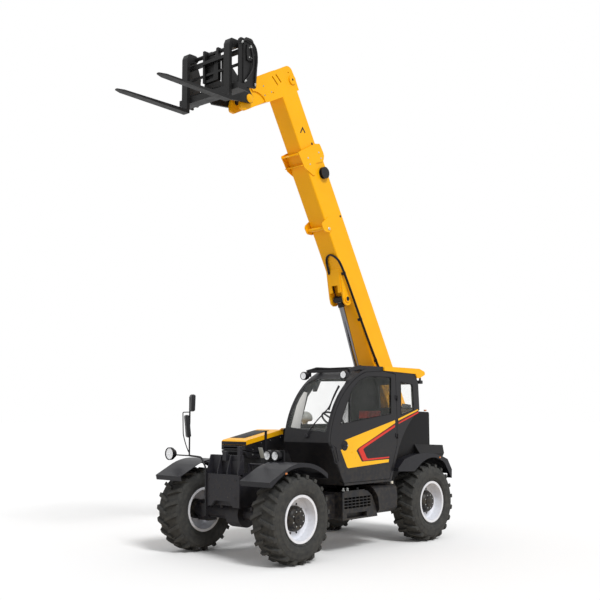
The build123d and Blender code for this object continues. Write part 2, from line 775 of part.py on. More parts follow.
with BuildPart() as door_glass:
    plate(door_window, cab_outer - glass_inset, glass, radius=door_window_radius, grow=-seat_gap)
    block(
        (divider[0] - seat_gap, divider[1] + seat_gap), (cab_outer - cab_skin, cab_outer), (1800, 2700),
        mode=Mode.SUBTRACT,
    )
save(door_glass.part, "door_glass")

with BuildPart() as roof_cover:
    plate(
        [(-1028, 2700), (-1028, 2804), (-1990, 2795), (-2135, 2750), (-2150, 2700), (-1990, 2640), (-1880, 2640)],
        cab_outer + 15, cab_outer + 15 - cab_inner - 10, radius=[4, 30, 60, 30, 20, 30, 10],
    )
    extrude(shell_face(cab_outer + 20, seat_gap), amount=cab_outer + 20, mode=Mode.SUBTRACT)
save(roof_cover.part, "roof_cover")

visor_side = [(-1020, 2700), (-1020, 2800), (-400, 2797), (-167, 2743), (-185, 2700), (-420, 2740)]
visor_left = cab_outer - 8
visor_right = cab_inner + 8
with BuildPart() as roof_visor:
    for y_left in (visor_left, visor_right + 30):
        plate(visor_side, y_left, 30)
    block((-230, -185), (visor_right, visor_left), (2700, 2742))
    for x in (-950, -820, -690, -560, -430):
        block((x, x + 45), (visor_right, visor_left), (2765, 2780))
    extrude(shell_face(cab_outer + 20, seat_gap), amount=cab_outer, mode=Mode.SUBTRACT)
save(roof_visor.part, "roof_visor")

with BuildPart() as roof_lamps:
    for y in (cab_inner + 45, cab_outer - 35):
        block((-225, -190), (y - 20, y + 20), (2640, 2700 - seat_gap))
        block((-225, -130), (y - 20, y + 20), (2640, 2665))
        disc_across(-150, y, 2652, 50, 40)
        disc_across(-112, y, 2652, 64, 55)
        disc_across(-70, y, 2652, 56, 20, mode=Mode.SUBTRACT)
save(roof_lamps.part, "roof_lamps")

cover_left = 1060
with BuildPart() as shelf:
    with BuildSketch(front_plane(-2710)) as slope:
        with BuildLine():
            Polyline(
                (cover_left - 60, 1250), (cover_left - 60, 1570), (cover_left, 1570), (1182, 1400), (1182, 1250),
                close=True,
            )
        make_face()
    extrude(slope.sketch, amount=805)
    extrude(
        outline(side_plane(1200), [(-1905, 1567), (-2702, 1529), (-2480, 1250), (-1905, 1250)]), amount=300,
        mode=Mode.INTERSECT,
    )
with BuildPart() as rear_cover:
    plate(
        [(-1900, 2100), (-2335, 2085), (-2355, 2060), (-2355, 1250), (-1340, 1250), (-1450, 1700)],
        cover_left, 380, radius=[1, 30, 30, 1, 1, 1],
    )
    add(shelf.part)
    extrude(arched(side_plane(1200), rear_top, rear_vias, seat_gap), amount=600, mode=Mode.SUBTRACT)
    extrude(shell_face(cab_outer + 1, seat_gap), amount=600, mode=Mode.SUBTRACT)
save(rear_cover.part, "rear_cover")

seat_foot = 1290
with BuildPart() as seat:
    block((-1180, -700), (480, 960), (seat_foot, 1430))
    plate([(-1180, 1430), (-1050, 1430), (-1150, 2140), (-1260, 2140)], 950, 460, radius=30)
    block((-1080, -800), (600, 840), (cab_floor + seat_gap, seat_foot))
save(seat.part, "seat")

wheel_y = 680
wheel_tilt = 50            # steering column above the horizontal
column_foot = (-60, 1700)
column_length = 350
column_way = (-cos(radians(wheel_tilt)), 0, sin(radians(wheel_tilt)))
column_plane = Plane(origin=(column_foot[0], wheel_y, column_foot[1]), x_dir=(0, 1, 0), z_dir=column_way)
with BuildPart() as console_form:
    plate([(-60, 1066), (60, 1066), (450, 1700), (450, 1850), (120, 1850), (50, 1800), (-90, 1620)], 1070, 700)
    block((-640, -60), (290, 400), (frame_deck + 95, 1540))
    block((-640, -60), (frame_half_width + 5, 400), (1060, frame_deck + 100))
    extrude(shell_face(cab_outer, -pillar - seat_gap), amount=cab_outer, mode=Mode.INTERSECT)
with BuildPart() as console:
    add(console_form.part)
    with BuildSketch(column_plane.offset(-60)):
        Circle(48)
    extrude(amount=column_length + 60 - 36)
    with BuildSketch(column_plane):
        Circle(14)
    extrude(amount=column_length)
save(console.part, "console")

with BuildPart() as steering_wheel:
    with BuildSketch(column_plane.offset(column_length - 30)):
        Circle(45)
    extrude(amount=50)
    with BuildSketch(column_plane.offset(column_length + 5)) as spokes:
        with PolarLocations(90, 3):
            Rectangle(180, 34)
    extrude(spokes.sketch, amount=12)
    with Locations(column_plane.offset(column_length + 11)):
        Torus(178, 15)
    with BuildSketch(column_plane.offset(column_length - 31)) as socket:
        Circle(14 + running_fit)
    extrude(socket.sketch, amount=34, mode=Mode.SUBTRACT)
save(steering_wheel.part, "steering_wheel")

# ---- boom ------------------------------------------------------------------------------
with BuildPart() as boom_outer:
    with BuildSketch(boom_section(-boom_tail)):
        RectangleRounded(boom_width, boom_depth, 25)
        RectangleRounded(boom_width - 2 * boom_wall, boom_depth - 2 * boom_wall, 15, mode=Mode.SUBTRACT)
    extrude(amount=boom_length + boom_tail)
    boss_face = frame_half_width - frame_plate - seat_gap
    for y_left, y_right in ((boss_face, boom_width / 2 - boom_wall), (boom_wall - boom_width / 2, -boss_face)):
        rod_across(boom_pivot_x, boom_pivot_z, 100, y_left, y_right)
    rod_across(boom_pivot_x, boom_pivot_z, pivot_pin_radius + running_fit, 400, -400, mode=Mode.SUBTRACT)
save(boom_outer.part, "boom_outer")

inner_front = carriage_reach - 174
with BuildPart() as boom_inner:
    with BuildSketch(boom_section(inner_rear)):
        RectangleRounded(inner_width, inner_depth, 20)
        RectangleRounded(inner_width - 2 * inner_wall, inner_depth - 2 * inner_wall, 12, mode=Mode.SUBTRACT)
    extrude(amount=inner_front - inner_rear)
save(boom_inner.part, "boom_inner")

# ---- boom fittings ------------------------------------------------------------------------
half_depth = boom_depth / 2
ear_outer = 155
ear_thick = 30
with BuildPart() as lift_bracket:
    ear = [
        (eye_reach + 525, -half_depth), (eye_reach + 65, -eye_drop - 70), (eye_reach - 35, -eye_drop - 90),
        (eye_reach - 100, -eye_drop - 50), (eye_reach - 120, -eye_drop + 10), (eye_reach - 105, -half_depth),
    ]
    for y_left in (ear_outer, ear_thick - ear_outer):
        boom_plate(ear, y_left, ear_thick, radius=[4, 60, 60, 40, 30, 4])
    cover = [
        (eye_reach + 145, -eye_drop - 60), (eye_reach + 525, -half_depth - 4), (eye_reach + 525, -half_depth),
        (eye_reach + 460, -half_depth), (eye_reach + 145, -eye_drop - 36),
    ]
    boom_plate(cover, ear_outer - ear_thick, 2 * (ear_outer - ear_thick))
    boom_plate(
        [
            (eye_reach + 100, -eye_drop - 90), (eye_reach + 260, -eye_drop - 90),
            (eye_reach + 260, 0), (eye_reach + 100, 0),
        ],
        65, 130, radius=[10, 60, 60, 10], mode=Mode.SUBTRACT,
    )
    eye_x, eye_z = boom_point(eye_reach, eye_drop)
    rod_across(eye_x, eye_z, 56, ear_outer + 22, ear_outer)
    rod_across(eye_x, eye_z, 56, -ear_outer, -ear_outer - 22)
save(lift_bracket.part, "lift_bracket")

collar_side = [
    (25, -330), (25, 150), (-15, 255), (-168, 272), (-225, 264), (-300, 204), (-265, -8), (-428, -95), (-435, -154),
    (-244, -304),
]
lug_side = [(3740, -150), (3700, -364), (3560, -350), (3500, -240), (3520, -150)]
collar_thick = 15
half_width = boom_width / 2
with BuildPart() as boom_collar:
    for y_left in (half_width + collar_thick, -half_width):
        boom_plate(
            [(boom_length + lead, height) for lead, height in collar_side], y_left, collar_thick,
            radius=[20, 40, 40, 40, 40, 60, 60, 40, 30, 40],
        )
        boom_plate(lug_side, y_left + (3 if y_left > 0 else 0), collar_thick + 3, radius=[4, 60, 60, 30, 4])
    for lead in (-20, -205):
        for low, high in ((-350, -half_depth), (half_depth, 262)):
            boom_plate(
                [(boom_length + lead, low), (boom_length + lead + 15, low), (boom_length + lead + 15, high),
                 (boom_length + lead, high)],
                half_width, boom_width,
            )
    tube_x, tube_z = boom_point(3600, 300)
    rod_across(tube_x, tube_z, 30, half_width, -half_width)
save(boom_collar.part, "boom_collar")

reel_x, reel_z = boom_point(boom_length - 475, -105)
with BuildPart() as hose_reel:
    rod_across(reel_x, reel_z, 98, half_width + 60, half_width + 48)
    rod_across(reel_x, reel_z, 74, half_width + 48, half_width + 16)
    rod_across(reel_x, reel_z, 98, half_width + 16, half_width + seat_gap)
save(hose_reel.part, "hose_reel")

pad_thick = (boom_width - 2 * boom_wall - inner_width) / 2 - seat_gap
pad_deep = (boom_depth - 2 * boom_wall - inner_depth) / 2 - seat_gap
with BuildPart() as wear_pads:
    with BuildSketch(boom_section(boom_length - 130)) as pads:
        for side in (1, -1):
            with Locations((side * (inner_width / 2 + seat_gap + pad_thick / 2), 0)):
                Rectangle(pad_thick, 180)
            with Locations((0, side * (inner_depth / 2 + seat_gap + pad_deep / 2))):
                Rectangle(180, pad_deep)
    extrude(amount=110)
save(wear_pads.part, "wear_pads")

# ---- head: leads are measured from the carriage pivot along the boom ------------------------------
head_half = inner_width / 2
cheek_thick = 20
low = -carriage_drop
cheek_side = [
    (-174, 240), (-4, 243), (142, 231), (258, 118), (262, low + 310), (206, low + 155), (86, low + 180),
    (-89, low + 378), (-145, low + 377), (-164, low + 464), (-174, -200),
]
cheek_vias = {
    2: (carriage_reach + 225, 195),
    4: (carriage_reach + 252, low + 222),
    6: (carriage_reach + 16, low + 310),
}
lug_plate = [
    (-139, low + 450), (156, low + 450), (130, low + 60), (80, low - 70), (-10, low - 150), (-88, low - 190),
    (-144, low - 110), (-144, low + 110),
]
front_skin = [
    (-174, 222), (-174, 236), (140, 227), (246, 114), (250, low + 400), (236, low + 400), (232, 108), (134, 213),
]
rear_skin = [(-174, -200), (-164, low + 464), (-146, low + 380), (-132, low + 380), (-150, low + 464), (-160, -200)]
long_slots = [((175, -281), (33, -224)), ((186, -182), (53, -126))]
small_holes = [(-55, -387, 13), (149, 124, 13), (-46, low + 418, 12)]


def from_pivot(table):
    """Reach and height of points whose leads are measured from the carriage pivot."""
    return [(carriage_reach + lead, height) for lead, height in table]


with BuildPart() as boom_head:
    for y_left in (head_half, cheek_thick - head_half):
        extrude(arched(boom_side(y_left), from_pivot(cheek_side), cheek_vias), amount=cheek_thick)
    for skin in (front_skin, rear_skin):
        boom_plate(from_pivot(skin), head_half - cheek_thick, 2 * (head_half - cheek_thick))
    for y_left in (head_half - cheek_thick, -90):
        boom_plate(from_pivot(lug_plate), y_left, 45, radius=[10, 10, 60, 60, 60, 40, 30, 60])
    with BuildSketch(boom_side(head_half + 1)) as cuts:
        for start, end in long_slots:
            middle = (carriage_reach + (start[0] + end[0]) / 2, (start[1] + end[1]) / 2)
            SlotCenterPoint(middle, (carriage_reach + end[0], end[1]), 24)
        for lead, height, radius in small_holes:
            with Locations((carriage_reach + lead, height)):
                Circle(radius)
    extrude(cuts.sketch, amount=2 * head_half + 2, mode=Mode.SUBTRACT)
    pivot_x, pivot_z = boom_point(carriage_reach, carriage_drop)
    rod_across(pivot_x, pivot_z, pivot_pin_radius - 10 + running_fit, 300, -300, mode=Mode.SUBTRACT)
    tilt_x, tilt_z = boom_point(carriage_reach + tilt_lead, -tilt_height)
    rod_across(tilt_x, tilt_z, 30, head_half, -head_half)
    for y_left in (head_half + 20, -head_half):
        rod_across(tilt_x, tilt_z, 75, y_left, y_left - 20)
    for y_left in (head_half + 21, 12 - head_half - 20):
        rod_across(tilt_x, tilt_z, 20, y_left, y_left - 12, mode=Mode.SUBTRACT)
save(boom_head.part, "boom_head")

# ---- carriage: points are measured from its pivot, forward and up -----------------------------------
shaft_x, shaft_z = pivot_x + 551, pivot_z + 607
shaft_radius = 30
shank_back = pivot_x + 681
fork_top = pivot_z - 212.8
lever_x = pivot_x + tilt_arm * cos(radians(tilt_arm_angle))
lever_z = pivot_z + tilt_arm * sin(radians(tilt_arm_angle))
lever_inner = head_half + 10
lever_thick = 40
lever_lead, lever_rise = lever_x - pivot_x, lever_z - pivot_z
carriage_half = 620
lever_plate = [
    (-60, -60), (60, -75), (421, -113), (561, 8), (561, 447), (441, 447), (lever_lead + 60, lever_rise + 40),
    (lever_lead - 40, lever_rise + 55), (-75, 30),
]
end_plate = [(421, -113), (641, -113), (641, 640), (600, 677), (501, 677), (421, 347)]
guard_plate = [(297, -35), (259, 435), (367, 707), (520, 700), (560, 560), (560, -60)]


def place(table):
    """Side-view points of a table measured from the carriage pivot."""
    return [(pivot_x + forward, pivot_z + up) for forward, up in table]


with BuildPart() as carriage:
    pin_end = lever_inner + lever_thick + 5
    rod_across(pivot_x, pivot_z, pivot_pin_radius - 10, pin_end, -pin_end)
    for y_left in (lever_inner + lever_thick, -lever_inner):
        plate(place(lever_plate), y_left, lever_thick, radius=[40, 40, 10, 10, 10, 60, 40, 40, 40])
    for y_left in (lever_inner + lever_thick + 20, -lever_inner):
        rod_across(lever_x, lever_z, 45, y_left, y_left - lever_thick - 20)
        rod_across(pivot_x, pivot_z, 62, y_left - (0 if y_left < 0 else 20), y_left - 40 - (0 if y_left < 0 else 20))
    for y_left in (carriage_half, 20 - carriage_half):
        plate(place(end_plate), y_left, 20, radius=[10, 10, 30, 20, 60, 60])
    for y_left in (carriage_half + 12, -carriage_half):
        plate(place(guard_plate), y_left, 12, radius=[40, 90, 60, 40, 20, 10])
    block(
        (pivot_x + 571, pivot_x + 641), (-carriage_half, carriage_half), (pivot_z + 437, pivot_z + 487),
    )
    block(
        (pivot_x + 571, pivot_x + 601), (-carriage_half, carriage_half), (pivot_z + 265, pivot_z + 300),
    )
    block(
        (pivot_x + 500, shank_back - 3), (-carriage_half - 20, carriage_half + 20), (pivot_z - 113, pivot_z - 20),
    )
    rod_across(pivot_x + 501, pivot_z + 32, 57, carriage_half, -carriage_half)
    rod_across(shaft_x, shaft_z, shaft_radius, carriage_half - 20, 20 - carriage_half)
    block((pivot_x + 541, pivot_x + 621), (-179, -138), (pivot_z + 159, pivot_z + 662))
    with BuildSketch(front_plane(pivot_x + 541)) as upright:
        with BuildLine():
            Line((136, pivot_z + 182), (136, pivot_z + 655))
            Line((136, pivot_z + 655), (96, pivot_z + 655))
            ThreePointArc((96, pivot_z + 655), (52, pivot_z + 400), (33, pivot_z + 182))
            Line((33, pivot_z + 182), (136, pivot_z + 182))
        make_face()
    extrude(upright.sketch, amount=60)
    block((pivot_x + 541, pivot_x + 601), (-179, 136), (pivot_z + 159, pivot_z + 200))
save(carriage.part, "carriage")

for name, side in (("left", 1), ("right", -1)):
    with BuildPart() as fork:
        y_left = side * fork_spread + fork_width / 2
        tip_x = shank_back + fork_blade + 70
        shank_front = shank_back + fork_thick
        plate(
            [
                (shank_back, fork_top - fork_thick), (tip_x, fork_top - 20), (tip_x, fork_top),
                (shank_front, fork_top), (shank_front, shaft_z - 20), (shank_back + 20, shaft_z + 60),
                (shaft_x, shaft_z + 60), (shaft_x - 60, shaft_z), (shaft_x, shaft_z - 60), (shank_back, shaft_z - 80),
            ],
            y_left, fork_width, radius=[12, 4, 4, 30, 60, 30, 55, 50, 55, 30],
        )
        bore_end = 5
        rod_across(
            shaft_x, shaft_z, shaft_radius + running_fit, y_left + bore_end, y_left - fork_width - bore_end,
            mode=Mode.SUBTRACT,
        )
        tip_cut = [(tip_x + 1, y_left + 1), (tip_x - 110, y_left + 1), (tip_x + 1, y_left - 40)]
        extrude(outline(Plane.XY.offset(fork_top - 100), tip_cut), amount=200, mode=Mode.SUBTRACT)
        tip_cut = [(x, 2 * y_left - fork_width - y) for x, y in tip_cut]
        extrude(outline(Plane.XY.offset(fork_top - 100), tip_cut), amount=200, mode=Mode.SUBTRACT)
    save(fork.part, f"fork_{name}")

# ---- lift cylinder ---------------------------------------------------------------------------
def along_plane(base, tip, reach):
    """Plane across the line from base to tip (side-view points), at a distance from the base."""
    run = hypot(tip[0] - base[0], tip[1] - base[1])
    way = Vector((tip[0] - base[0]) / run, 0, (tip[1] - base[1]) / run)
    return Plane(origin=Vector(base[0], 0, base[1]) + way * reach, x_dir=(0, 1, 0), z_dir=way)


def cylinder_pair(
    base, tip, barrel_length, bore_radius, rod_radius, base_eye, base_pin, rod_eye, rod_hole, eye_half, neck,
):
    """Barrel and rod of a hydraulic cylinder lying in the machine's centre plane."""
    run = hypot(tip[0] - base[0], tip[1] - base[1])
    with BuildPart() as barrel:
        with BuildSketch(along_plane(base, tip, base_eye * 0.6)) as tube:
            Circle(bore_radius)
        extrude(tube.sketch, amount=barrel_length - base_eye * 0.6)
        rod_across(base[0], base[1], base_eye, eye_half, -eye_half)
        rod_across(base[0], base[1], base_pin + running_fit, 300, -300, mode=Mode.SUBTRACT)
        with BuildSketch(along_plane(base, tip, barrel_length - 60)) as gland:
            Circle(bore_radius + 8)
        extrude(gland.sketch, amount=60)
        with BuildSketch(along_plane(base, tip, base_eye + 20)) as bore:
            Circle(rod_radius + running_fit)
        extrude(bore.sketch, amount=barrel_length, mode=Mode.SUBTRACT)
    with BuildPart() as rod:
        with BuildSketch(along_plane(base, tip, barrel_length - 300)) as shaft:
            Circle(rod_radius)
        extrude(shaft.sketch, amount=run - barrel_length + 300 - rod_eye * 0.7)
        with BuildSketch(along_plane(base, tip, run - rod_eye * 0.7 - neck)) as collar:
            Circle(rod_radius + 12)
        extrude(collar.sketch, amount=neck)
        rod_across(tip[0], tip[1], rod_eye, eye_half, -eye_half)
        rod_across(tip[0], tip[1], rod_hole, 300, -300, mode=Mode.SUBTRACT)
    return barrel.part, rod.part


lift_barrel, lift_rod = cylinder_pair(
    (lift_base_x, lift_base_z), (eye_x, eye_z), lift_barrel_length, lift_barrel_radius, lift_rod_radius,
    85, 45, eye_radius, 30, 100, 90,
)
save(lift_barrel, "lift_barrel")
save(lift_rod, "lift_rod")
tilt_barrel, tilt_rod = cylinder_pair(
    (tilt_x, tilt_z), (lever_x, lever_z), 760, 55, 30, 60, 30, 42, 26, 80, 20,
)
save(tilt_barrel, "tilt_barrel")
save(tilt_rod, "tilt_rod")
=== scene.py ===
import math

import bpy
from mathutils import Matrix, Vector


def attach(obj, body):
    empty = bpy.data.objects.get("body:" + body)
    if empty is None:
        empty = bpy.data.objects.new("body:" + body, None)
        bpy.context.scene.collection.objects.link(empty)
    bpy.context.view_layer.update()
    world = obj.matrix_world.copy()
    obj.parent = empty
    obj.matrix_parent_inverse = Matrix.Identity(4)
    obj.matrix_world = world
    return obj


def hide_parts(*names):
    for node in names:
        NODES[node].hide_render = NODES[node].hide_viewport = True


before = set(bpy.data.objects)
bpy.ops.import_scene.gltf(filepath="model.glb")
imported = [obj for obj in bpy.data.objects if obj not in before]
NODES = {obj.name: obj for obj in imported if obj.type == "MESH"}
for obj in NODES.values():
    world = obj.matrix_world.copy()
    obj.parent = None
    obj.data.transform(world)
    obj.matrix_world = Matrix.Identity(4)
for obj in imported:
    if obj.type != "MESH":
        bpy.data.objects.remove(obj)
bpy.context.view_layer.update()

bl_info = {
    "name": "Telehandler dressing",
    "version": (1, 0, 0),
    "blender": (4, 5, 0),
    "location": "View3D > Sidebar > Telehandler",
    "description": "Dresses the packed telehandler with finishes, lamps, stripes, hoses, fasteners and trim",
    "category": "Object",
}

MM = 0.001                       # millimetres to metres
BOOM_PIVOT = Vector((-2730, 0, 2100))
BOOM_ANGLE = math.radians(61)
ALONG = Vector((math.cos(BOOM_ANGLE), 0, math.sin(BOOM_ANGLE)))       # up the boom
ABOVE = Vector((-math.sin(BOOM_ANGLE), 0, math.cos(BOOM_ANGLE)))      # square to it, to its top
LIFT_BASE = Vector((-2490, 0, 1000))            # foot of the lift cylinder
LIFT_EYE = (2335, 0, -330)       # eye of its rod, in the boom's own reach, side and height
FRONT_AXLE, REAR_AXLE = 1000, -2200
WHEELS = {
    # corner: axle, side
    "front_left": (FRONT_AXLE, 1), "front_right": (FRONT_AXLE, -1),
    "rear_left": (REAR_AXLE, 1), "rear_right": (REAR_AXLE, -1),
}
WHEEL_Y, WHEEL_Z = 990, 627      # centre of a wheel, from the machine's centre plane and the ground
DOOR_FACE = 1120                 # left face of the door and cab
LEFT, FORWARD, UP = Vector((0, 1, 0)), Vector((1, 0, 0)), Vector((0, 0, 1))
DRIVER_EYE = Vector((-900, 700, 2150))          # the mirrors face it
MAST_X = 1404.3                  # mirror mast, in front of the front plate


# ---- small helpers --------------------------------------------------------------------

def linear(hex_colour):
    """sRGB hex text as a linear colour with full alpha."""
    channels = [int(hex_colour[start:start + 2], 16) / 255 for start in (0, 2, 4)]
    return [c / 12.92 if c <= 0.04045 else ((c + 0.055) / 1.055) ** 2.4 for c in channels] + [1.0]


def per_metre(size_mm):
    """Texture scale at which one cell of a pattern is that many millimetres wide."""
    return 1000.0 / size_mm


def add_node(tree, name, kind, inputs=None, **settings):
    """Adds a named node, or takes the one of that name; an input is a value or "node.output"."""
    node = tree.nodes.get(name) or tree.nodes.new(kind)
    node.name = name
    for key, value in settings.items():
        setattr(node, key, value)
    for socket, value in (inputs or {}).items():
        if isinstance(value, str):
            source, output = value.split(".")
            sockets = tree.nodes[source].outputs
            tree.links.new(sockets[int(output) if output.isdigit() else output], node.inputs[socket])
        else:
            node.inputs[socket].default_value = value
    return node


def new_material(name, nodes=(), **shader_inputs):
    """Material of one Principled shader, fed by a table of nodes that read Object coordinates."""
    material = bpy.data.materials.new(name)
    material.use_nodes = True
    tree = material.node_tree
    add_node(tree, "place", "ShaderNodeTexCoord")
    for label, kind, inputs, settings in nodes:
        add_node(tree, label, kind, inputs, **settings)
    fed = {key.replace("_", " "): value for key, value in shader_inputs.items()}
    add_node(tree, "Principled BSDF", "ShaderNodeBsdfPrincipled", fed)
    return material


def boom_at(reach, y, height):
    """Point beside the boom, in millimetres: along it, across it and above its centre line."""
    return BOOM_PIVOT + ALONG * reach + ABOVE * height + Vector((0, y, 0))


# ---- modelling by hand, with operators --------------------------------------------------

def pick(piece):
    """Selects one piece alone and makes it the active one."""
    bpy.ops.object.select_all(action="DESELECT")
    piece.select_set(True)
    bpy.context.view_layer.objects.active = piece
    return piece


def chain(points, closed=False):
    """New object with edges drawn from point to point (millimetres), left in edit mode."""
    points = [Vector(point) * MM for point in points]
    bpy.ops.object.select_all(action="DESELECT")
    bpy.ops.mesh.primitive_plane_add(size=0.01, location=points[0])
    bpy.ops.object.mode_set(mode="EDIT")
    bpy.ops.mesh.select_all(action="SELECT")
    bpy.ops.mesh.merge(type="CENTER")
    for start, end in zip(points, points[1:]):
        bpy.ops.mesh.extrude_region_move(TRANSFORM_OT_translate={"value": end - start})
    bpy.ops.mesh.select_all(action="SELECT")
    if closed:
        bpy.ops.mesh.edge_face_add()
    return bpy.context.object


def leave(piece):
    """Leaves edit mode with the normals outwards and the piece at the origin."""
    bpy.ops.mesh.select_all(action="SELECT")
    bpy.ops.mesh.remove_doubles(threshold=1e-5)
    bpy.ops.mesh.normals_make_consistent(inside=False)
    bpy.ops.object.mode_set(mode="OBJECT")
    bpy.ops.object.transform_apply(location=True, rotation=True, scale=True)
    return piece


def round_edges(piece, width, segments=2, angle=40):
    """Bevels the sharp edges of a piece."""
    modifier = piece.modifiers.new("edges", "BEVEL")
    modifier.width = width * MM
    modifier.segments = segments
    modifier.limit_method = "ANGLE"
    modifier.angle_limit = math.radians(angle)
    bpy.context.view_layer.objects.active = piece
    bpy.ops.object.modifier_apply(modifier=modifier.name)
    return piece


def slab(points, depth, edge=0.0):
    """Flat outline drawn from point to point, filled and pulled out by a depth vector."""
    piece = chain(points, closed=True)
    bpy.ops.mesh.extrude_region_move(TRANSFORM_OT_translate={"value": Vector(depth) * MM})
    leave(piece)
    return round_edges(piece, edge) if edge else piece


def side_slab(points, y, depth, edge=0.0):
    """Slab from a side-view table of x and z, its back at y, pulled out by a depth along y."""
    return slab([(x, y, z) for x, z in points], (0, depth, 0), edge)


def brick(low, high, edge=3.0):
    """Box between two corners with its edges rounded."""
    low, high = Vector(low), Vector(high)
    bpy.ops.object.select_all(action="DESELECT")
    bpy.ops.mesh.primitive_cube_add(size=1, location=(low + high) / 2 * MM)
    piece = bpy.context.object
    piece.scale = (high - low) * MM
    bpy.ops.object.transform_apply(location=True, rotation=True, scale=True)
    return round_edges(piece, edge)


def turned(profile, place=(0, 0, 0), axis=(0, 0, 1), steps=32):
    """Profile of radius and height spun round its axis, then set at its place (millimetres)."""
    piece = chain([(radius, 0, height) for radius, height in profile])
    bpy.ops.mesh.spin(steps=steps, angle=math.tau, center=(0, 0, 0), axis=(0, 0, 1))
    leave(piece)
    return set_at(piece, place, axis)


def set_at(piece, place, axis):
    """Turns a piece modelled about +Z to an axis and moves it to its place."""
    turn = Vector(axis).to_track_quat("Z", "Y").to_matrix().to_4x4()
    piece.matrix_world = Matrix.Translation(Vector(place) * MM) @ turn
    pick(piece)
    bpy.ops.object.transform_apply(location=True, rotation=True, scale=True)
    return piece


def bar(points, radius, cyclic=False, sides=3):
    """Round bar or hose along a smooth line through a route (millimetres)."""
    bpy.ops.object.select_all(action="DESELECT")
    bpy.ops.curve.primitive_nurbs_path_add(location=(0, 0, 0))
    piece = bpy.context.object
    curve = piece.data
    curve.splines.clear()
    line = curve.splines.new("NURBS")
    line.points.add(len(points) - 1)
    for knot, point in zip(line.points, points):
        knot.co = (*(Vector(point) * MM), 1)
    line.use_cyclic_u = cyclic
    line.order_u = 3
    line.use_endpoint_u = not cyclic
    line.resolution_u = 6
    curve.dimensions = "3D"
    curve.bevel_depth = radius * MM
    curve.bevel_resolution = sides
    curve.use_fill_caps = True
    bpy.ops.object.convert(target="MESH")
    return bpy.context.object


def rounded_route(points, reach):
    """Route whose corners get a control point on each side, so that a bar bends tightly there."""
    route = []
    count = len(points)
    for number, corner in enumerate(points):
        corner = Vector(corner)
        before, after = Vector(points[number - 1]), Vector(points[(number + 1) % count])
        route += [corner + (before - corner).normalized() * reach, corner]
        route.append(corner + (after - corner).normalized() * reach)
    return route


def copies(model, places, axis=None):
    """Copies of a model at its places (millimetres), with the model itself put at the first."""
    made = [model]
    for _ in places[1:]:
        pick(model)
        bpy.ops.object.duplicate(linked=False)
        made.append(bpy.context.object)
    for piece, place in zip(made, places):
        set_at(piece, place, axis or UP)
    return joined(made)


def joined(pieces):
    """One piece out of several."""
    bpy.ops.object.select_all(action="DESELECT")
    for piece in pieces:
        piece.select_set(True)
    bpy.context.view_layer.objects.active = pieces[0]
    if len(pieces) > 1:
        bpy.ops.object.join()
    return bpy.context.object


def fit(piece, name, body, material, smooth=38):
    """Names a finished piece, gives it its finish and lets it ride on a body."""
    piece.name = name
    piece.data.name = name
    pick(piece)
    bpy.ops.object.transform_apply(location=True, rotation=True, scale=True)
    bpy.ops.object.shade_smooth_by_angle(angle=math.radians(smooth))
    piece.data.materials.clear()
    piece.data.materials.append(bpy.data.materials[material])
    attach(piece, body)
    return piece


def hex_bolt(size=12):
    """Hex head on a washer, about +Z, with its washer's back at zero."""
    bpy.ops.object.select_all(action="DESELECT")
    bpy.ops.mesh.primitive_cylinder_add(
        vertices=6, radius=size * MM, depth=size * 0.7 * MM, location=(0, 0, size * 0.55 * MM))
    head = round_edges(bpy.context.object, size * 0.08, 1)
    washer = turned([(0, 0), (size * 1.35, 0), (size * 1.35, size * 0.2), (0, size * 0.2)], steps=14)
    return joined([head, washer])


# ---- finishes -------------------------------------------------------------------------
# Every finish is a table of nodes: label, kind, inputs, settings.

NOISE, WAVE, RANGE = "ShaderNodeTexNoise", "ShaderNodeTexWave", "ShaderNodeMapRange"
MIX, BUMP, MATH = "ShaderNodeMix", "ShaderNodeBump", "ShaderNodeMath"
COLOUR = {"data_type": "RGBA"}
WAVE_COARSE = 6.28               # divides a wave's scale: bands come out about twice their size, so they show


def enamel(name, colour, roughness=0.34, dust=0.1, peel_mm=6, shine=0.25):
    """Sprayed enamel over steel sheet: an even colour under a clear sheen, with fine orange
    peel, faint cloudy fading and a film of dust that thickens towards the ground."""
    faded = [channel * 0.92 for channel in colour[:3]] + [1]
    return new_material(name, (
        ("clouds", NOISE, {"Vector": "place.Object", "Scale": per_metre(420), "Detail": 2.0}, {}),
        ("fade", RANGE, {"Value": "clouds.Fac", "From Min": 0.3, "From Max": 0.75}, {}),
        ("paint", MIX, {0: "fade.Result", 6: faded, 7: colour}, COLOUR),
        ("height", "ShaderNodeSeparateXYZ", {"Vector": "place.Object"}, {}),
        ("low", RANGE, {"Value": "height.Z", "From Min": 0.4, "From Max": 1.8,
                        "To Min": dust * 2.6, "To Max": dust * 0.3}, {}),
        ("specks", NOISE, {"Vector": "place.Object", "Scale": per_metre(60), "Detail": 6.0,
                           "Roughness": 0.6}, {}),
        ("patch", RANGE, {"Value": "specks.Fac", "From Min": 0.42, "From Max": 0.7}, {}),
        ("film", MATH, {0: "low.Result", 1: "patch.Result"}, {"operation": "MULTIPLY"}),
        ("skin", MIX, {0: "film.Value", 6: "paint.2", 7: linear("857860")}, COLOUR),
        ("gloss", RANGE, {"Value": "specks.Fac", "From Min": 0.3, "From Max": 0.75,
                          "To Min": roughness - 0.05, "To Max": roughness + 0.12}, {}),
        ("peel", NOISE, {"Vector": "place.Object", "Scale": per_metre(peel_mm), "Detail": 2.0}, {}),
        ("relief", BUMP, {"Height": "peel.Fac", "Strength": 0.3, "Distance": 0.05 * MM}, {}),
    ), Base_Color="skin.2", Roughness="gloss.Result", Normal="relief.Normal", Specular_IOR_Level=shine)


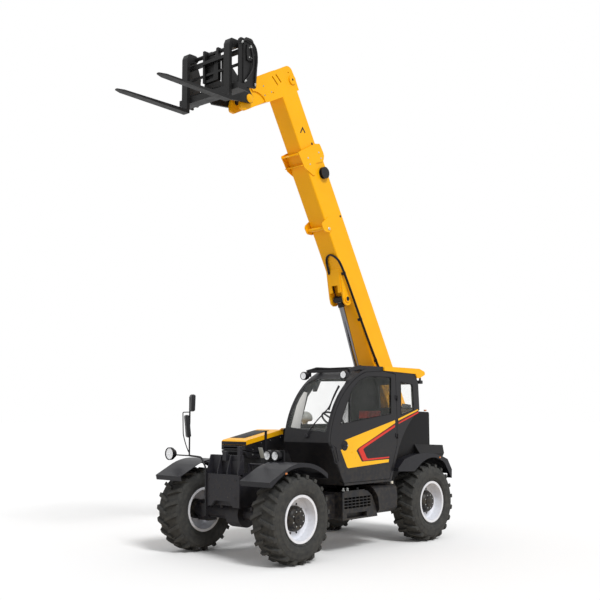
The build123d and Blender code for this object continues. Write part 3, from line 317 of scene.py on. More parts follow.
def tyre_rubber():
    """Moulded carbon-black rubber: dull, with dry earth left in the tread and along the walls."""
    return new_material("tyre_rubber_moulded", (
        ("earth", NOISE, {"Vector": "place.Object", "Scale": per_metre(75), "Detail": 7.0,
                          "Roughness": 0.65}, {}),
        ("left", RANGE, {"Value": "earth.Fac", "From Min": 0.36, "From Max": 0.74,
                         "To Min": 0.04, "To Max": 0.5}, {}),
        ("skin", MIX, {0: "left.Result", 6: linear("2F3031"), 7: linear("55544F")}, COLOUR),
        ("pores", NOISE, {"Vector": "place.Object", "Scale": per_metre(5), "Detail": 4.0}, {}),
        ("relief", BUMP, {"Height": "pores.Fac", "Strength": 0.55, "Distance": 0.4 * MM}, {}),
    ), Base_Color="skin.2", Normal="relief.Normal", Roughness=0.85, Specular_IOR_Level=0.3)


def moulding(name, hex_colour, roughness=0.5, grain_mm=2.0, depth_mm=0.15, scuff=0.3):
    """Moulded plastic: a matt leather-like grain, and pale scuffs where things have brushed it."""
    colour = linear(hex_colour)
    pale = [min(1, channel * 1.6 + 0.012) for channel in colour[:3]] + [1]
    return new_material(name, (
        ("brushed", NOISE, {"Vector": "place.Object", "Scale": per_metre(130), "Detail": 6.0,
                            "Roughness": 0.7}, {}),
        ("scuff", RANGE, {"Value": "brushed.Fac", "From Min": 0.45, "From Max": 0.8, "To Max": scuff}, {}),
        ("skin", MIX, {0: "scuff.Result", 6: colour, 7: pale}, COLOUR),
        ("grain", NOISE, {"Vector": "place.Object", "Scale": per_metre(grain_mm), "Detail": 2.0}, {}),
        ("relief", BUMP, {"Height": "grain.Fac", "Strength": 0.5, "Distance": depth_mm * MM}, {}),
    ), Base_Color="skin.2", Normal="relief.Normal", Roughness=roughness, Specular_IOR_Level=0.25)


def worked_steel(name, hex_colour, hex_worn, rub=0.6):
    """Black-painted forged steel that lifts loads: rubbed patches let grey metal through."""
    return new_material(name, (
        ("wear", NOISE, {"Vector": "place.Object", "Scale": per_metre(150), "Detail": 8.0,
                         "Roughness": 0.7}, {}),
        ("rubbed", RANGE, {"Value": "wear.Fac", "From Min": 0.5, "From Max": 0.76, "To Max": rub}, {}),
        ("skin", MIX, {0: "rubbed.Result", 6: linear(hex_colour), 7: linear(hex_worn)}, COLOUR),
        ("gloss", RANGE, {"Value": "wear.Fac", "From Min": 0.3, "From Max": 0.7,
                          "To Min": 0.38, "To Max": 0.6}, {}),
        ("scale", NOISE, {"Vector": "place.Object", "Scale": per_metre(14), "Detail": 5.0}, {}),
        ("relief", BUMP, {"Height": "scale.Fac", "Strength": 0.4, "Distance": 0.25 * MM}, {}),
    ), Base_Color="skin.2", Roughness="gloss.Result", Normal="relief.Normal", Specular_IOR_Level=0.3)


def bright_metal(name, hex_colour, roughness=0.15, streak_mm=25):
    """Plated or polished metal: bright, with faint variation in how finely it was ground."""
    return new_material(name, (
        ("ground", NOISE, {"Vector": "place.Object", "Scale": per_metre(streak_mm), "Detail": 3.0}, {}),
        ("gloss", RANGE, {"Value": "ground.Fac", "From Min": 0.3, "From Max": 0.7,
                          "To Min": roughness * 0.6, "To Max": roughness * 1.6}, {}),
    ), Base_Color=linear(hex_colour), Roughness="gloss.Result", Metallic=1.0)


def pane(name, hex_colour, alpha, roughness=0.03):
    """Toughened glass: clear, lightly tinted, with the faintest film where dust has dried on it."""
    return new_material(name, (
        ("film", NOISE, {"Vector": "place.Object", "Scale": per_metre(180), "Detail": 5.0}, {}),
        ("haze", RANGE, {"Value": "film.Fac", "From Min": 0.35, "From Max": 0.75,
                         "To Min": alpha * 0.8, "To Max": alpha * 1.5}, {}),
    ), Base_Color=linear(hex_colour), Alpha="haze.Result", Roughness=roughness)


def tinted(name, hex_colour, roughness=0.12, facet_mm=7):
    """Moulded acrylic lens: saturated and glossy, ribbed inside, with alternate bands of its colour darkened
    as painted shade where the ribs would catch the light.
    """
    colour = linear(hex_colour)
    # the darker colour of every other rib band is painted shade, not a tint of the acrylic
    rib_shade = [channel * 0.6 for channel in colour[:3]] + [1]
    return new_material(name, (
        ("ribs", WAVE, {"Vector": "place.Object", "Scale": per_metre(facet_mm) / WAVE_COARSE},
         {"bands_direction": "Y"}),
        ("skin", MIX, {0: "ribs.Fac", 6: colour, 7: rib_shade}, COLOUR),
        ("relief", BUMP, {"Height": "ribs.Fac", "Strength": 0.4, "Distance": 0.6 * MM}, {}),
    ), Base_Color="skin.2", Normal="relief.Normal", Roughness=roughness, Coat_Weight=0.6, Coat_Roughness=0.05)


def seat_cloth():
    """Woven polyester seat cloth: charcoal, with red cloth let in at the shoulders; the weave
    is drawn at 4 mm, coarser than the real 1 mm thread, so that it shows."""
    thread = per_metre(4) / WAVE_COARSE
    return new_material("seat_cloth_woven", (
        ("warp", WAVE, {"Vector": "place.Object", "Scale": thread}, {"bands_direction": "Y"}),
        ("weft", WAVE, {"Vector": "place.Object", "Scale": thread}, {"bands_direction": "Z"}),
        ("weave", MATH, {0: "warp.Fac", 1: "weft.Fac"}, {"operation": "MULTIPLY"}),
        ("thread", MIX, {0: "weave.Value", 6: linear("1B1B1E"), 7: linear("3A3A3F")}, COLOUR),
        ("height", "ShaderNodeSeparateXYZ", {"Vector": "place.Object"}, {}),
        ("shoulder", RANGE, {"Value": "height.Z", "From Min": 1.985, "From Max": 1.995}, {}),
        ("top", RANGE, {"Value": "height.Z", "From Min": 2.11, "From Max": 2.12,
                        "To Min": 1.0, "To Max": 0.0}, {}),
        ("inlay", MATH, {0: "shoulder.Result", 1: "top.Result"}, {"operation": "MULTIPLY"}),
        ("skin", MIX, {0: "inlay.Value", 6: "thread.2", 7: linear("F04430")}, COLOUR),
        ("relief", BUMP, {"Height": "weave.Value", "Strength": 0.5, "Distance": 0.5 * MM}, {}),
    ), Base_Color="skin.2", Normal="relief.Normal", Roughness=0.9, Sheen_Weight=0.3, Sheen_Roughness=0.5)


# ---- settings -------------------------------------------------------------------------

class StageSettings(bpy.types.PropertyGroup):
    lens: bpy.props.FloatProperty(
        name="Lens", description="Focal length of the camera", default=55.02, unit="CAMERA")
    pitch: bpy.props.FloatProperty(
        name="Pitch", description="How far the camera looks up", default=math.radians(6.77), subtype="ANGLE")
    heading: bpy.props.FloatProperty(
        name="Heading", description="Turn of the camera about the vertical", default=math.radians(132.0),
        subtype="ANGLE")
    sky: bpy.props.FloatProperty(
        name="Sky level", description="Strength of the even light from all round", default=0.6)
    sun: bpy.props.FloatProperty(
        name="Sun level", description="Strength of the soft main light", default=2.0)


class PaintSettings(bpy.types.PropertyGroup):
    yellow: bpy.props.FloatVectorProperty(
        name="Machine yellow", description="Enamel of the boom, hood lid and roof", default=linear("FFBA0A"),
        size=4, min=0.0, max=1.0, subtype="COLOR")
    grey: bpy.props.FloatVectorProperty(
        name="Body grey", description="Enamel of the cab and body panels", default=linear("1C1C20"),
        size=4, min=0.0, max=1.0, subtype="COLOR")
    stripe: bpy.props.FloatVectorProperty(
        name="Stripe yellow", description="Vinyl of the wide stripe", default=linear("FCC01E"),
        size=4, min=0.0, max=1.0, subtype="COLOR")
    accent: bpy.props.FloatVectorProperty(
        name="Stripe red", description="Vinyl of the narrow stripe", default=linear("D8352B"),
        size=4, min=0.0, max=1.0, subtype="COLOR")


class TrimSettings(bpy.types.PropertyGroup):
    hose: bpy.props.FloatProperty(
        name="Hose radius", description="Radius of the hydraulic hoses", default=11 * MM, unit="LENGTH")
    nut: bpy.props.FloatProperty(
        name="Wheel nut", description="Half width of a wheel nut", default=17 * MM, unit="LENGTH")
    seal: bpy.props.FloatProperty(
        name="Window seal", description="Radius of the rubber round the panes", default=7 * MM, unit="LENGTH")


# ---- stage ----------------------------------------------------------------------------

CAMERA_PLACE = (10.6209, 9.8287, 2.1423)        # metres
CAMERA_ROLL = math.radians(0.15)
FLOOR_SIZE = 240                 # metres
LARGER = {"operation": "MAXIMUM"}


class TELEHANDLER_OT_stage(bpy.types.Operator):
    """Lays the pale floor, sets the soft studio light and places the camera"""
    bl_idname = "telehandler.stage"
    bl_label = "Stage, light and camera"

    def execute(self, context):
        settings = context.scene.telehandler_stage
        bpy.ops.object.select_all(action="DESELECT")
        bpy.ops.mesh.primitive_grid_add(
            x_subdivisions=8, y_subdivisions=8, size=FLOOR_SIZE, location=(0, 0, 0))
        floor = context.object
        floor.name = "studio_floor"
        # matt studio floor: white wherever it is seen, and greyer to the light that bounces off it,
        # so that it keeps the machine's shadow and leaves the undersides darker than the sides
        floor.data.materials.append(new_material("studio_floor_white", (
            ("rays", "ShaderNodeLightPath", {}, {}),
            ("direct", MATH, {0: "rays.Is Camera Ray", 1: "rays.Is Transmission Ray"}, LARGER),
            ("seen", MATH, {0: "direct.Value", 1: "rays.Is Glossy Ray"}, LARGER),
            ("tone", MIX, {0: "seen.Value", 6: linear("E2D4C2"), 7: linear("FDFDFD")}, COLOUR),
        ), Base_Color="tone.2", Roughness=1.0, Specular_IOR_Level=0.0))

        world = bpy.data.worlds.new("studio_sky")
        context.scene.world = world
        world.use_nodes = True
        tree = world.node_tree
        tree.nodes.clear()
        add_node(tree, "rays", "ShaderNodeLightPath")
        add_node(tree, "direct", MATH, {0: "rays.Is Camera Ray", 1: "rays.Is Transmission Ray"}, **LARGER)
        add_node(tree, "seen", MATH, {0: "direct.Value", 1: "rays.Is Glossy Ray"}, **LARGER)
        add_node(tree, "level", RANGE, {"Value": "seen.Value", "To Min": settings.sky, "To Max": 1.0})
        add_node(tree, "sky", "ShaderNodeBackground", {"Color": (1, 1, 1, 1), "Strength": "level.Result"})
        add_node(tree, "world", "ShaderNodeOutputWorld", {"Surface": "sky.Background"})

        bpy.ops.object.light_add(type="SUN", rotation=(math.radians(-42), math.radians(18), 0))
        sun = context.object
        sun.name = "soft_sun"
        sun.data.energy = settings.sun
        sun.data.angle = math.radians(16)

        bpy.ops.object.camera_add(
            location=CAMERA_PLACE, rotation=(math.pi / 2 + settings.pitch, CAMERA_ROLL, settings.heading))
        camera = context.object
        camera.name = "view_camera"
        camera.data.sensor_width = 36
        camera.data.lens = settings.lens
        camera.data.clip_end = 400
        context.scene.camera = camera
        context.scene.view_settings.view_transform = "Standard"
        return {"FINISHED"}


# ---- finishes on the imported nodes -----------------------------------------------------

class TELEHANDLER_OT_finishes(bpy.types.Operator):
    """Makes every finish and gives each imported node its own"""
    bl_idname = "telehandler.finishes"
    bl_label = "Finishes of the packed nodes"

    def execute(self, context):
        paint = context.scene.telehandler_paint
        # sprayed enamels: the boom's glossy yellow and the cab's near-black grey, both almost clean
        enamel("boom_enamel_yellow", paint.yellow, dust=0.03, shine=0.2)
        enamel("body_enamel_grey", paint.grey, roughness=0.36, dust=0.06)
        # brushed-on chassis black: duller; the rear cover's black is deeper and smoother
        enamel("chassis_enamel_black", linear("232329"), roughness=0.45, dust=0.03)
        enamel("cover_enamel_black", linear("0F0F12"), roughness=0.34, dust=0.03, shine=0.12)
        # dipped wheel enamels: silver rims, black hubs with a little road dust
        enamel("wheel_enamel_silver", linear("E8EBF3"), roughness=0.35, dust=0.05)
        enamel("hub_enamel_black", linear("17171A"), roughness=0.4, dust=0.08)
        # cast vinyl film: flat, saturated and a touch glossier than the paint under it
        for name, colour in (("yellow", paint.stripe), ("red", paint.accent), ("maroon", linear("7C1F1A"))):
            enamel(f"stripe_vinyl_{name}", colour, roughness=0.3, dust=0.02, peel_mm=12)
        tyre_rubber()
        # moulded plastics, from satin fenders to the soft cab trim and the chalky slide pads
        moulding("fender_polypropylene", "18181D", 0.42)
        moulding("cab_trim_abs", "1F1F23", 0.6)
        moulding("lamp_housing_abs", "1A1A1D", 0.4, scuff=0.15)
        moulding("slide_nylon", "E4E0D4", 0.5, scuff=0.1)
        moulding("cleaner_abs_grey", "8F928F", 0.4, scuff=0.2)
        moulding("lining_abs_pale", "DADAD8", 0.6, scuff=0.1)
        # extruded rubbers: dead matt seals, and hoses with a coarser cover
        moulding("seal_epdm", "18181A", 0.7, scuff=0.2)
        moulding("hose_rubber", "1B1B1C", 0.55, grain_mm=3)
        # forged, cast and oxide-black steels: dark, rubbed grey where things touch them
        worked_steel("fork_steel_black", "101011", "2E2D2A", 0.3)
        worked_steel("engine_cast_iron", "303032", "4A4844", 0.3)
        worked_steel("bolt_black_oxide", "2A2A2B", "6B6861", 0.5)
        # plated and polished metals: on the rods a mirror whose colour is a dark grey, a painted reflection
        # of dark surroundings; soft zinc, warm ground pins, a bright diffuse lamp bowl and a near-perfect
        # looking glass
        bright_metal("rod_hard_chrome", "77777B", 0.14)
        bright_metal("bolt_zinc", "A9AAA8", 0.35, 8)
        bright_metal("pin_ground_steel", "C9C6BC", 0.3, 12)
        bright_metal("reflector_aluminium", "F2F2F4", 0.35, 10)
        bright_metal("mirror_silvered", "DADDE0", 0.03, 60)
        # toughened glass: all but clear in front, in the door a dark tint that is painted shade of the cab's
        # dim inside, a thin veil over the lamps
        pane("cab_glass_clear", "E2EAE6", 0.035)
        pane("door_glass_tinted", "161B16", 0.42)
        pane("lamp_glass", "E4E9EC", 0.12)
        tinted("lens_amber", "E8820C")
        tinted("lens_red", "B81A14")
        seat_cloth()
        finishes = {
            # finish: what the names of its nodes start with; the longest that fits counts
            "tyre_rubber_moulded": ("tyre",),
            "wheel_enamel_silver": ("rim",),
            "hub_enamel_black": ("hub", "lift_barrel", "tilt_barrel"),
            "chassis_enamel_black": (
                "knuckle", "front_axle", "rear_axle", "chassis_frame", "front_plate", "nose_gussets",
                "counterweight", "fender_brackets"),
            "cover_enamel_black": ("rear_cover",),
            "boom_enamel_yellow": ("boom", "lift_bracket", "hood", "roof_cover"),
            "body_enamel_grey": ("hood_skirt",),
            "slide_nylon": ("wear_pads",),
            "lamp_housing_abs": ("hose_reel", "headlamps", "roof_lamps", "mirror_mast"),
            "fork_steel_black": ("carriage", "fork"),
            "fender_polypropylene": ("front_fenders", "rear_fenders"),
            "cab_trim_abs": ("seat", "console", "steering_wheel"),
            "rod_hard_chrome": ("lift_rod", "tilt_rod"),
            "engine_cast_iron": ("engine",),
            "cleaner_abs_grey": ("air_cleaner",),
            "cab_glass_clear": ("cab_glass",),
            "door_glass_tinted": ("door_glass",),
        }
        finish_of = {start: finish for finish, starts in finishes.items() for start in starts}
        for name, node in NODES.items():
            starts = [start for start in finish_of if name.startswith(start)]
            finish = finish_of[max(starts, key=len)] if starts else "body_enamel_grey"
            material = bpy.data.materials[finish]
            for slot in node.material_slots:
                slot.material = material
            if not node.material_slots:
                node.data.materials.append(material)
        return {"FINISHED"}


# ---- pieces ---------------------------------------------------------------------------

HANDLE_X, HANDLE_Z = -38, 1600   # middle of the door handle's round recess


def decal(name, points, body, material):
    """Vinyl sheet on the door or the cab's side, from a side-view table of x and z."""
    return fit(side_slab(points, DOOR_FACE + 0.3, 1.2), name, body, material)


class TELEHANDLER_OT_stripes(bpy.types.Operator):
    """Lays the vinyl stripes on the door and the quarter panel"""
    bl_idname = "telehandler.stripes"
    bl_label = "Vinyl stripes"

    def execute(self, context):
        notch = []          # where the wide stripe goes round the door handle
        for angle in range(315, 70, -25):
            turn = math.radians(angle)
            notch.append((HANDLE_X + 78 * math.cos(turn), HANDLE_Z + 78 * math.sin(turn)))
        decal("door_stripe_yellow", [
            (-1304, 1961), (-1310, 1916), (-352, 1547), (-316, 1514), (-441, 1352), (-454, 1347),
            (-1129, 1357),
            (-1121, 1311), (-122, 1266), (-92, 1280), (55, 1540), *notch, (-27, 1675)],
            "door", "stripe_vinyl_yellow")
        decal("door_stripe_maroon", [
            (-1303, 1903), (-385, 1563), (-345, 1522), (-462, 1356), (-475, 1357), (-366, 1525), (-394, 1554),
            (-1300, 1887)], "door", "stripe_vinyl_maroon")
        decal("door_stripe_red", [
            (-1300, 1884), (-396, 1551), (-369, 1525), (-478, 1360), (-574, 1361), (-1137, 1376),
            (-1138, 1396),
            (-596, 1386), (-561, 1406), (-481, 1528), (-514, 1553), (-1303, 1853)],
            "door", "stripe_vinyl_red")
        decal("quarter_stripe_yellow", [(-1389, 1980), (-1936, 2131), (-1955, 2112), (-1396, 1951)],
              "chassis", "stripe_vinyl_yellow")
        decal("quarter_stripe_maroon", [(-1396, 1935), (-1955, 2104), (-1955, 2097), (-1396, 1920)],
              "chassis", "stripe_vinyl_maroon")
        decal("quarter_stripe_red", [(-1398, 1917), (-1955, 2092), (-1954, 2068), (-1403, 1900)],
              "chassis", "stripe_vinyl_red")
        return {"FINISHED"}


SEAT_FOAM = {
    # piece: lowest corner, highest corner, lean of the top backwards
    "seat_cushion": ((-1165, 495, 1345), (-715, 945, 1460), 0),
    "seat_backrest": ((-1150, 485, 1440), (-1062, 925, 2125), -95),
}


SWELL_FRAMES = 16
SWELL_LIMIT = 9                  # how far a point of the foam may swell, in millimetres
FOAM_INSET = Vector((8, 8, 8))   # how much smaller the foam starts than its cover


def cushion(low, high, lean):
    """Closed block of foam that a cloth simulation swells to its cover's size."""
    piece = brick(Vector(low) + FOAM_INSET, Vector(high) - FOAM_INSET, 22)
    if lean:
        for vertex in piece.data.vertices:
            vertex.co.x += lean * MM * (vertex.co.z / MM - low[2]) / (high[2] - low[2])
    remesh = piece.modifiers.new("voxels", "REMESH")
    remesh.mode = "VOXEL"
    remesh.voxel_size = 9 * MM
    bpy.ops.object.modifier_apply(modifier=remesh.name)
    rest = [vertex.co.copy() for vertex in piece.data.vertices]
    cloth = piece.modifiers.new("fill", "CLOTH")
    cloth.settings.use_pressure = True
    cloth.settings.uniform_pressure_force = 4.0
    cloth.settings.effector_weights.gravity = 0.0
    cloth.point_cache.frame_start = 1
    cloth.point_cache.frame_end = SWELL_FRAMES
    for number in range(1, SWELL_FRAMES + 1):
        bpy.context.scene.frame_set(number)
    bpy.ops.object.modifier_apply(modifier=cloth.name)
    bpy.context.scene.frame_set(1)
    for vertex, start in zip(piece.data.vertices, rest):
        move = vertex.co - start
        if move.length > SWELL_LIMIT * MM:
            vertex.co = start + move.normalized() * SWELL_LIMIT * MM
    return piece


class TELEHANDLER_OT_seat(bpy.types.Operator):
    """Upholsters the driver's seat and sets it on its suspension"""
    bl_idname = "telehandler.seat"
    bl_label = "Driver's seat"

    def execute(self, context):
        for name, (low, high, lean) in SEAT_FOAM.items():
            piece = fit(cushion(low, high, lean), name, "chassis", "seat_cloth_woven", 60)
        shell = side_slab([(-1168, 1430), (-1140, 1430), (-1240, 2110), (-1258, 2110)], 500, 410, 6)
        pan = brick((-1170, 490, 1315), (-720, 950, 1346), 8)
        boot = joined([
            brick((-1085 + step, 595 + step, 1066 + 50 * fold),
                  (-795 - step, 845 - step, 1112 + 50 * fold), 12)
            for fold, step in enumerate((0, 12, 4, 14, 6))])
        shell = fit(joined([shell, pan, boot]), "seat_shell", "chassis", "cab_trim_abs")
        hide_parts("seat")
        arms = joined([brick((-1120, y, 1640), (-800, y + 55, 1690), 14) for y in (438, 942)])
        fit(arms, "seat_armrests", "chassis", "cab_trim_abs")
        grip = [(0, 0), (26, 0), (20, 16), (9, 24), (9, 95), (24, 110), (26, 150), (14, 176), (0, 180)]
        stick = turned(grip, (-860, 465, 1688), steps=20)
        fit(stick, "boom_joystick", "chassis", "cab_trim_abs")
        return {"FINISHED"}


WINDOWS = {
    # pane: body, y of its rubber, outline of x and z, corner reach
    "door_window": ("door", 1117, [(54, 1915), (-6, 2054), (-227, 2437), (-420, 2580), (-618, 2640),
                                   (-1218, 2640), (-1204, 2059)], 28),
    "quarter_window": ("chassis", 1118, [(-1474, 2570), (-1807, 2530), (-1830, 2123), (-1472, 2045)], 24),
    "inner_window": ("chassis", 243, [(0, 1900), (-170, 2330), (-420, 2580), (-1250, 2600),
                                      (-1250, 1900)], 30),
}


class TELEHANDLER_OT_cab_trim(bpy.types.Operator):
    """Fits the window rubbers, the door handle with its lock, the grab rail and the hinge leaves"""
    bl_idname = "telehandler.cab_trim"
    bl_label = "Cab trim"

    def execute(self, context):
        seal = context.scene.telehandler_trim.seal / MM
        for name, (body, y, outline, reach) in WINDOWS.items():
            route = rounded_route([(x, y, z) for x, z in outline], reach)
            fit(bar(route, seal, cyclic=True), f"{name}_rubber", body, "seal_epdm")

        # round recess of the door handle, with its lever
        cup = turned([(0, 0), (62, 0), (66, 3), (62, 7), (54, 7), (50, 2.5), (0, 2.5)],
                     (HANDLE_X, DOOR_FACE + 0.3, HANDLE_Z), LEFT, 36)
        lever = brick((-84, DOOR_FACE + 3, 1588), (6, DOOR_FACE + 14, 1612), 4)
        lock = turned([(0, 0), (13, 0), (13, 12), (10, 14), (0, 14)], (-98, DOOR_FACE + 1, 1600), LEFT, 20)
        fit(joined([cup, lever]), "door_handle", "door", "cab_trim_abs")
        fit(lock, "door_lock", "door", "bolt_zinc")

        rail_y = DOOR_FACE + 38
        loop = [(262, rail_y, 1610), (296, rail_y, 1540), (236, rail_y, 1360), (190, rail_y, 1345),
                (150, rail_y, 1385), (212, rail_y, 1590)]
        rail = bar(rounded_route(loop, 26), 10, cyclic=True)
        feet = [bar([(x, DOOR_FACE - 8, z), (x, DOOR_FACE + 10, z), (x, rail_y, z)], 8)
                for x, z in ((283, 1588), (162, 1362))]
        fit(joined([rail, *feet]), "grab_rail", "chassis", "cab_trim_abs")

        # two hinge leaves on the rear edge of the door
        covers = [brick((-1352, DOOR_FACE, z), (-1318, DOOR_FACE + 9, z + 62), 4) for z in (1694, 2294)]
        fit(joined(covers), "door_hinge_leaves", "door", "body_enamel_grey")
        return {"FINISHED"}


LENS_BACK, LENS_FRONT = -3061.4, -3050          # ends of the rear lenses along the machine


class TELEHANDLER_OT_lamps(bpy.types.Operator):
    """Puts the bowls, glasses and rims into the lamp housings and adds the markers and rear lenses"""
    bl_idname = "telehandler.lamps"
    bl_label = "Lamps and markers"

    def execute(self, context):
        lights = {
            # piece: centre, radius
            "headlamp_outer": ((980, 662, 1475), 62), "headlamp_inner": ((980, 505, 1475), 62),
            "roof_lamp_left": ((-58, 1085, 2652), 55), "roof_lamp_right": ((-58, 285, 2652), 55),
            "work_lamp": ((1443, -1110, 1470), 85),
        }
        for name, (place, radius) in lights.items():
            bowl = turned([(0, -14), (radius * 0.45, -12), (radius * 0.8, -7), (radius - 1, -1),
                           (radius - 1, 1), (radius * 0.8, -4), (radius * 0.2, -9), (radius * 0.18, -3),
                           (0, -2)], place, FORWARD)
            fit(bowl, f"{name}_bowl", "chassis", "reflector_aluminium")
            glass = turned([(0, 9), (radius * 0.6, 7), (radius - 2, 2), (radius - 2, 0.5), (0, 6)],
                           place, FORWARD)
            fit(glass, f"{name}_glass", "chassis", "lamp_glass")
            rim = turned([(radius - 2, 0), (radius + 5, 0), (radius + 6, 6), (radius - 2, 6),
                          (radius - 2, 0)],
                         place, FORWARD, 36)
            fit(rim, f"{name}_rim", "chassis", "lamp_housing_abs")
        markers = {
            # piece: finish, lowest corner, highest corner
            "cab_marker_amber": ("lens_amber", (-2290, 1030, 2098), (-2240, 1058, 2124)),
            "fender_marker_front": ("lens_amber", (1290, 1188, 1252), (1330, 1196, 1278)),
            "fender_marker_rear": ("lens_amber", (-2480, 1188, 1320), (-2440, 1196, 1346)),
        }
        rows = (("tail", "lens_red", 1010, 1090), ("turn", "lens_amber", 1095, 1135))
        for kind, finish, low_z, high_z in rows:
            for name, low_y in (("left", 470), ("right", -590)):
                low, high = (LENS_BACK, low_y, low_z), (LENS_FRONT, low_y + 120, high_z)
                markers[f"{kind}_lamp_{name}"] = (finish, low, high)
        for name, (finish, low, high) in markers.items():
            fit(brick(low, high, 4), name, "chassis", finish)
        strip = slab([(1160, 562, 1450), (1160, 642, 1450), (1215, 642, 1600), (1215, 562, 1600)],
                     (8, 0, -3), 3)
        fit(strip, "lamp_guard_strip", "chassis", "cleaner_abs_grey")
        return {"FINISHED"}


HUB_FACE = 141.8                 # outer face of a hub, from the wheel's centre


def ring_of(centre, radius, count, first=0.0):
    """Places evenly spaced on a circle across the machine; first is in parts of a space."""
    turns = [math.tau * (step + first) / count for step in range(count)]
    return [centre + Vector((math.cos(turn), 0, math.sin(turn))) * radius for turn in turns]


class TELEHANDLER_OT_wheels(bpy.types.Operator):
    """Adds the wheel nuts, hub covers, valves and the raised rings of the tyre walls"""
    bl_idname = "telehandler.wheels"
    bl_label = "Wheel details"

    def execute(self, context):
        nut = context.scene.telehandler_trim.nut / MM
        for corner, (axle, side) in WHEELS.items():
            body = f"wheel_{corner}"
            centre, out = Vector((axle, WHEEL_Y * side, WHEEL_Z)), Vector((0, side, 0))
            fit(copies(hex_bolt(nut), ring_of(centre + out * 42, 204, 10), out), f"wheel_nuts_{corner}", body,
                "hub_enamel_black")
            ring = ring_of(centre + out * HUB_FACE, 108, 8, 0.5)
            fit(copies(hex_bolt(11), ring, out), f"hub_bolts_{corner}", body, "bolt_zinc")
            cap = turned([(0, 0), (84, 0), (84, 10), (76, 16), (34, 16), (30, 24), (18, 26), (0, 26)],
                         centre + out * HUB_FACE, out)
            fit(cap, f"hub_cover_{corner}", body, "hub_enamel_black")
            walls = []
            for radius, reach in ((362, 208), (470, 226.3)):
                walls.append(turned([(radius - 5, 0), (radius - 2, 4.5), (radius + 2, 4.5), (radius + 5, 0),
                                     (radius + 5, -14), (radius - 5, -14), (radius - 5, 0)],
                                    centre + out * reach, out, 72))
            fit(joined(walls), f"tyre_wall_rings_{corner}", body, "tyre_rubber_moulded")
            valve = turned([(0, 0), (7, 0), (7, 12), (5, 14), (5, 38), (0, 38)],
                           centre + out * 41 + Vector((0, 0, 246)), out, 14)
            fit(valve, f"tyre_valve_{corner}", body, "cab_trim_abs")
        return {"FINISHED"}


def on_both(profile, reach, y, height, steps=24):
    """The same turned piece on the left and on the right of the boom, facing outwards."""
    return [turned(profile, boom_at(reach, side * y, height), (0, side, 0), steps) for side in (1, -1)]


class TELEHANDLER_OT_boom(bpy.types.Operator):
    """Runs the hoses up the boom and adds its clamps, bolts, pins, marks, dark discs of painted shade where
    holes are, and the lift rod's sleeve
    """
    bl_idname = "telehandler.boom_fittings"
    bl_label = "Boom fittings"

    def execute(self, context):
        radius = context.scene.telehandler_trim.hose / MM
        route = [(2330, -150, -268), (2645, -115, -268), (2860, -100, -262), (3060, -70, -258),
                 (3138, 40, -258), (3060, 150, -258), (2960, 196, -250), (2640, 200, -238), (2224, 200, -232),
                 (1700, 200, -225), (1100, 198, -200), (620, 194, -160)]
        hoses = [bar([boom_at(reach, y + shift, height) for reach, y, height in route], radius, sides=4)
                 for shift in (0, 2.3 * radius)]
        fit(joined(hoses), "boom_hoses", "boom", "hose_rubber", 60)
        clamps = []
        for reach, y, height in ((2757, 198, -242), (1900, 200, -228), (1100, 198, -200)):
            low = boom_at(reach, y - 16, height)
            clamps.append(set_at(brick((-30, -18, -22), (30, 40, 22), 4), low, ALONG))
        fit(joined(clamps), "hose_clamps", "boom", "cab_trim_abs")

        for name, side in (("left", 1), ("right", -1)):
            bolts = [boom_at(reach, side * 195, height) for reach, height in
                     ((4767, 157), (4665, 166), (4768, -146), (4661, -149))]
            fit(copies(hex_bolt(16), bolts, (0, side, 0)), f"collar_bolts_{name}", "boom",
                "pin_ground_steel")
        stow = on_both([(0, 0), (26, 0), (26, 9), (18, 18), (0, 18)], 3559, 196, -229)
        fit(joined(stow), "stow_pins", "boom", "pin_ground_steel")
        ends = on_both([(0, 0), (36, 0), (36, 6), (28, 11), (0, 11)], LIFT_EYE[0], 177, LIFT_EYE[2], 28)
        # a flat black disc on the outer section's side is painted shade standing in for a small hole
        ends.append(turned([(0, 0), (20, 0), (20, 1.5), (0, 1.5)], boom_at(3634, 180.2, 176), LEFT, 24))
        fit(joined(ends), "boom_pin_ends_and_hole_shade", "boom", "hub_enamel_black")

        # a plain arrow on the inner section, a dark disc there that is painted shade standing in for a hole,
        # and dark discs at the tilt cylinder's pin that are painted shade of its recessed holes
        arrow = [boom_at(reach, 155.3, height) for reach, height in (
            (5262, 24), (5188, -86), (5176, -66), (5222, 8), (5146, 22), (5150, 46))]
        marks = [slab(arrow, (0, 1.2, 0))]
        marks.append(turned([(0, 0), (22, 0), (22, 1.5), (0, 1.5)], boom_at(4940, 155.2, 112), LEFT, 20))
        marks += on_both([(0, 0), (19, 0), (19, 7), (0, 7)], 6014, 163.5, 150)
        fit(joined(marks), "extension_marks_and_hole_shades", "boom_extension", "hub_enamel_black")
        bolts = [boom_at(reach, 155.3, height) for reach, height in
                 ((6090, -560), (5949, -600), (5958, -425))]
        fit(copies(hex_bolt(12), bolts, LEFT), "head_bolts", "boom_extension", "bolt_zinc")

        eye = boom_at(*LIFT_EYE)
        neck = turned([(45.4, -131), (59, -131), (59, -44), (57.2, -44), (57.2, -128.7), (45.4, -128.7)],
                      eye, (eye - LIFT_BASE).normalized())
        wrap = turned([(55.2, -99), (57, -99), (57, 99), (55.2, 99)], eye, LEFT)
        fit(joined([neck, wrap]), "lift_rod_sleeve", "lift_rod", "hub_enamel_black")
        return {"FINISHED"}


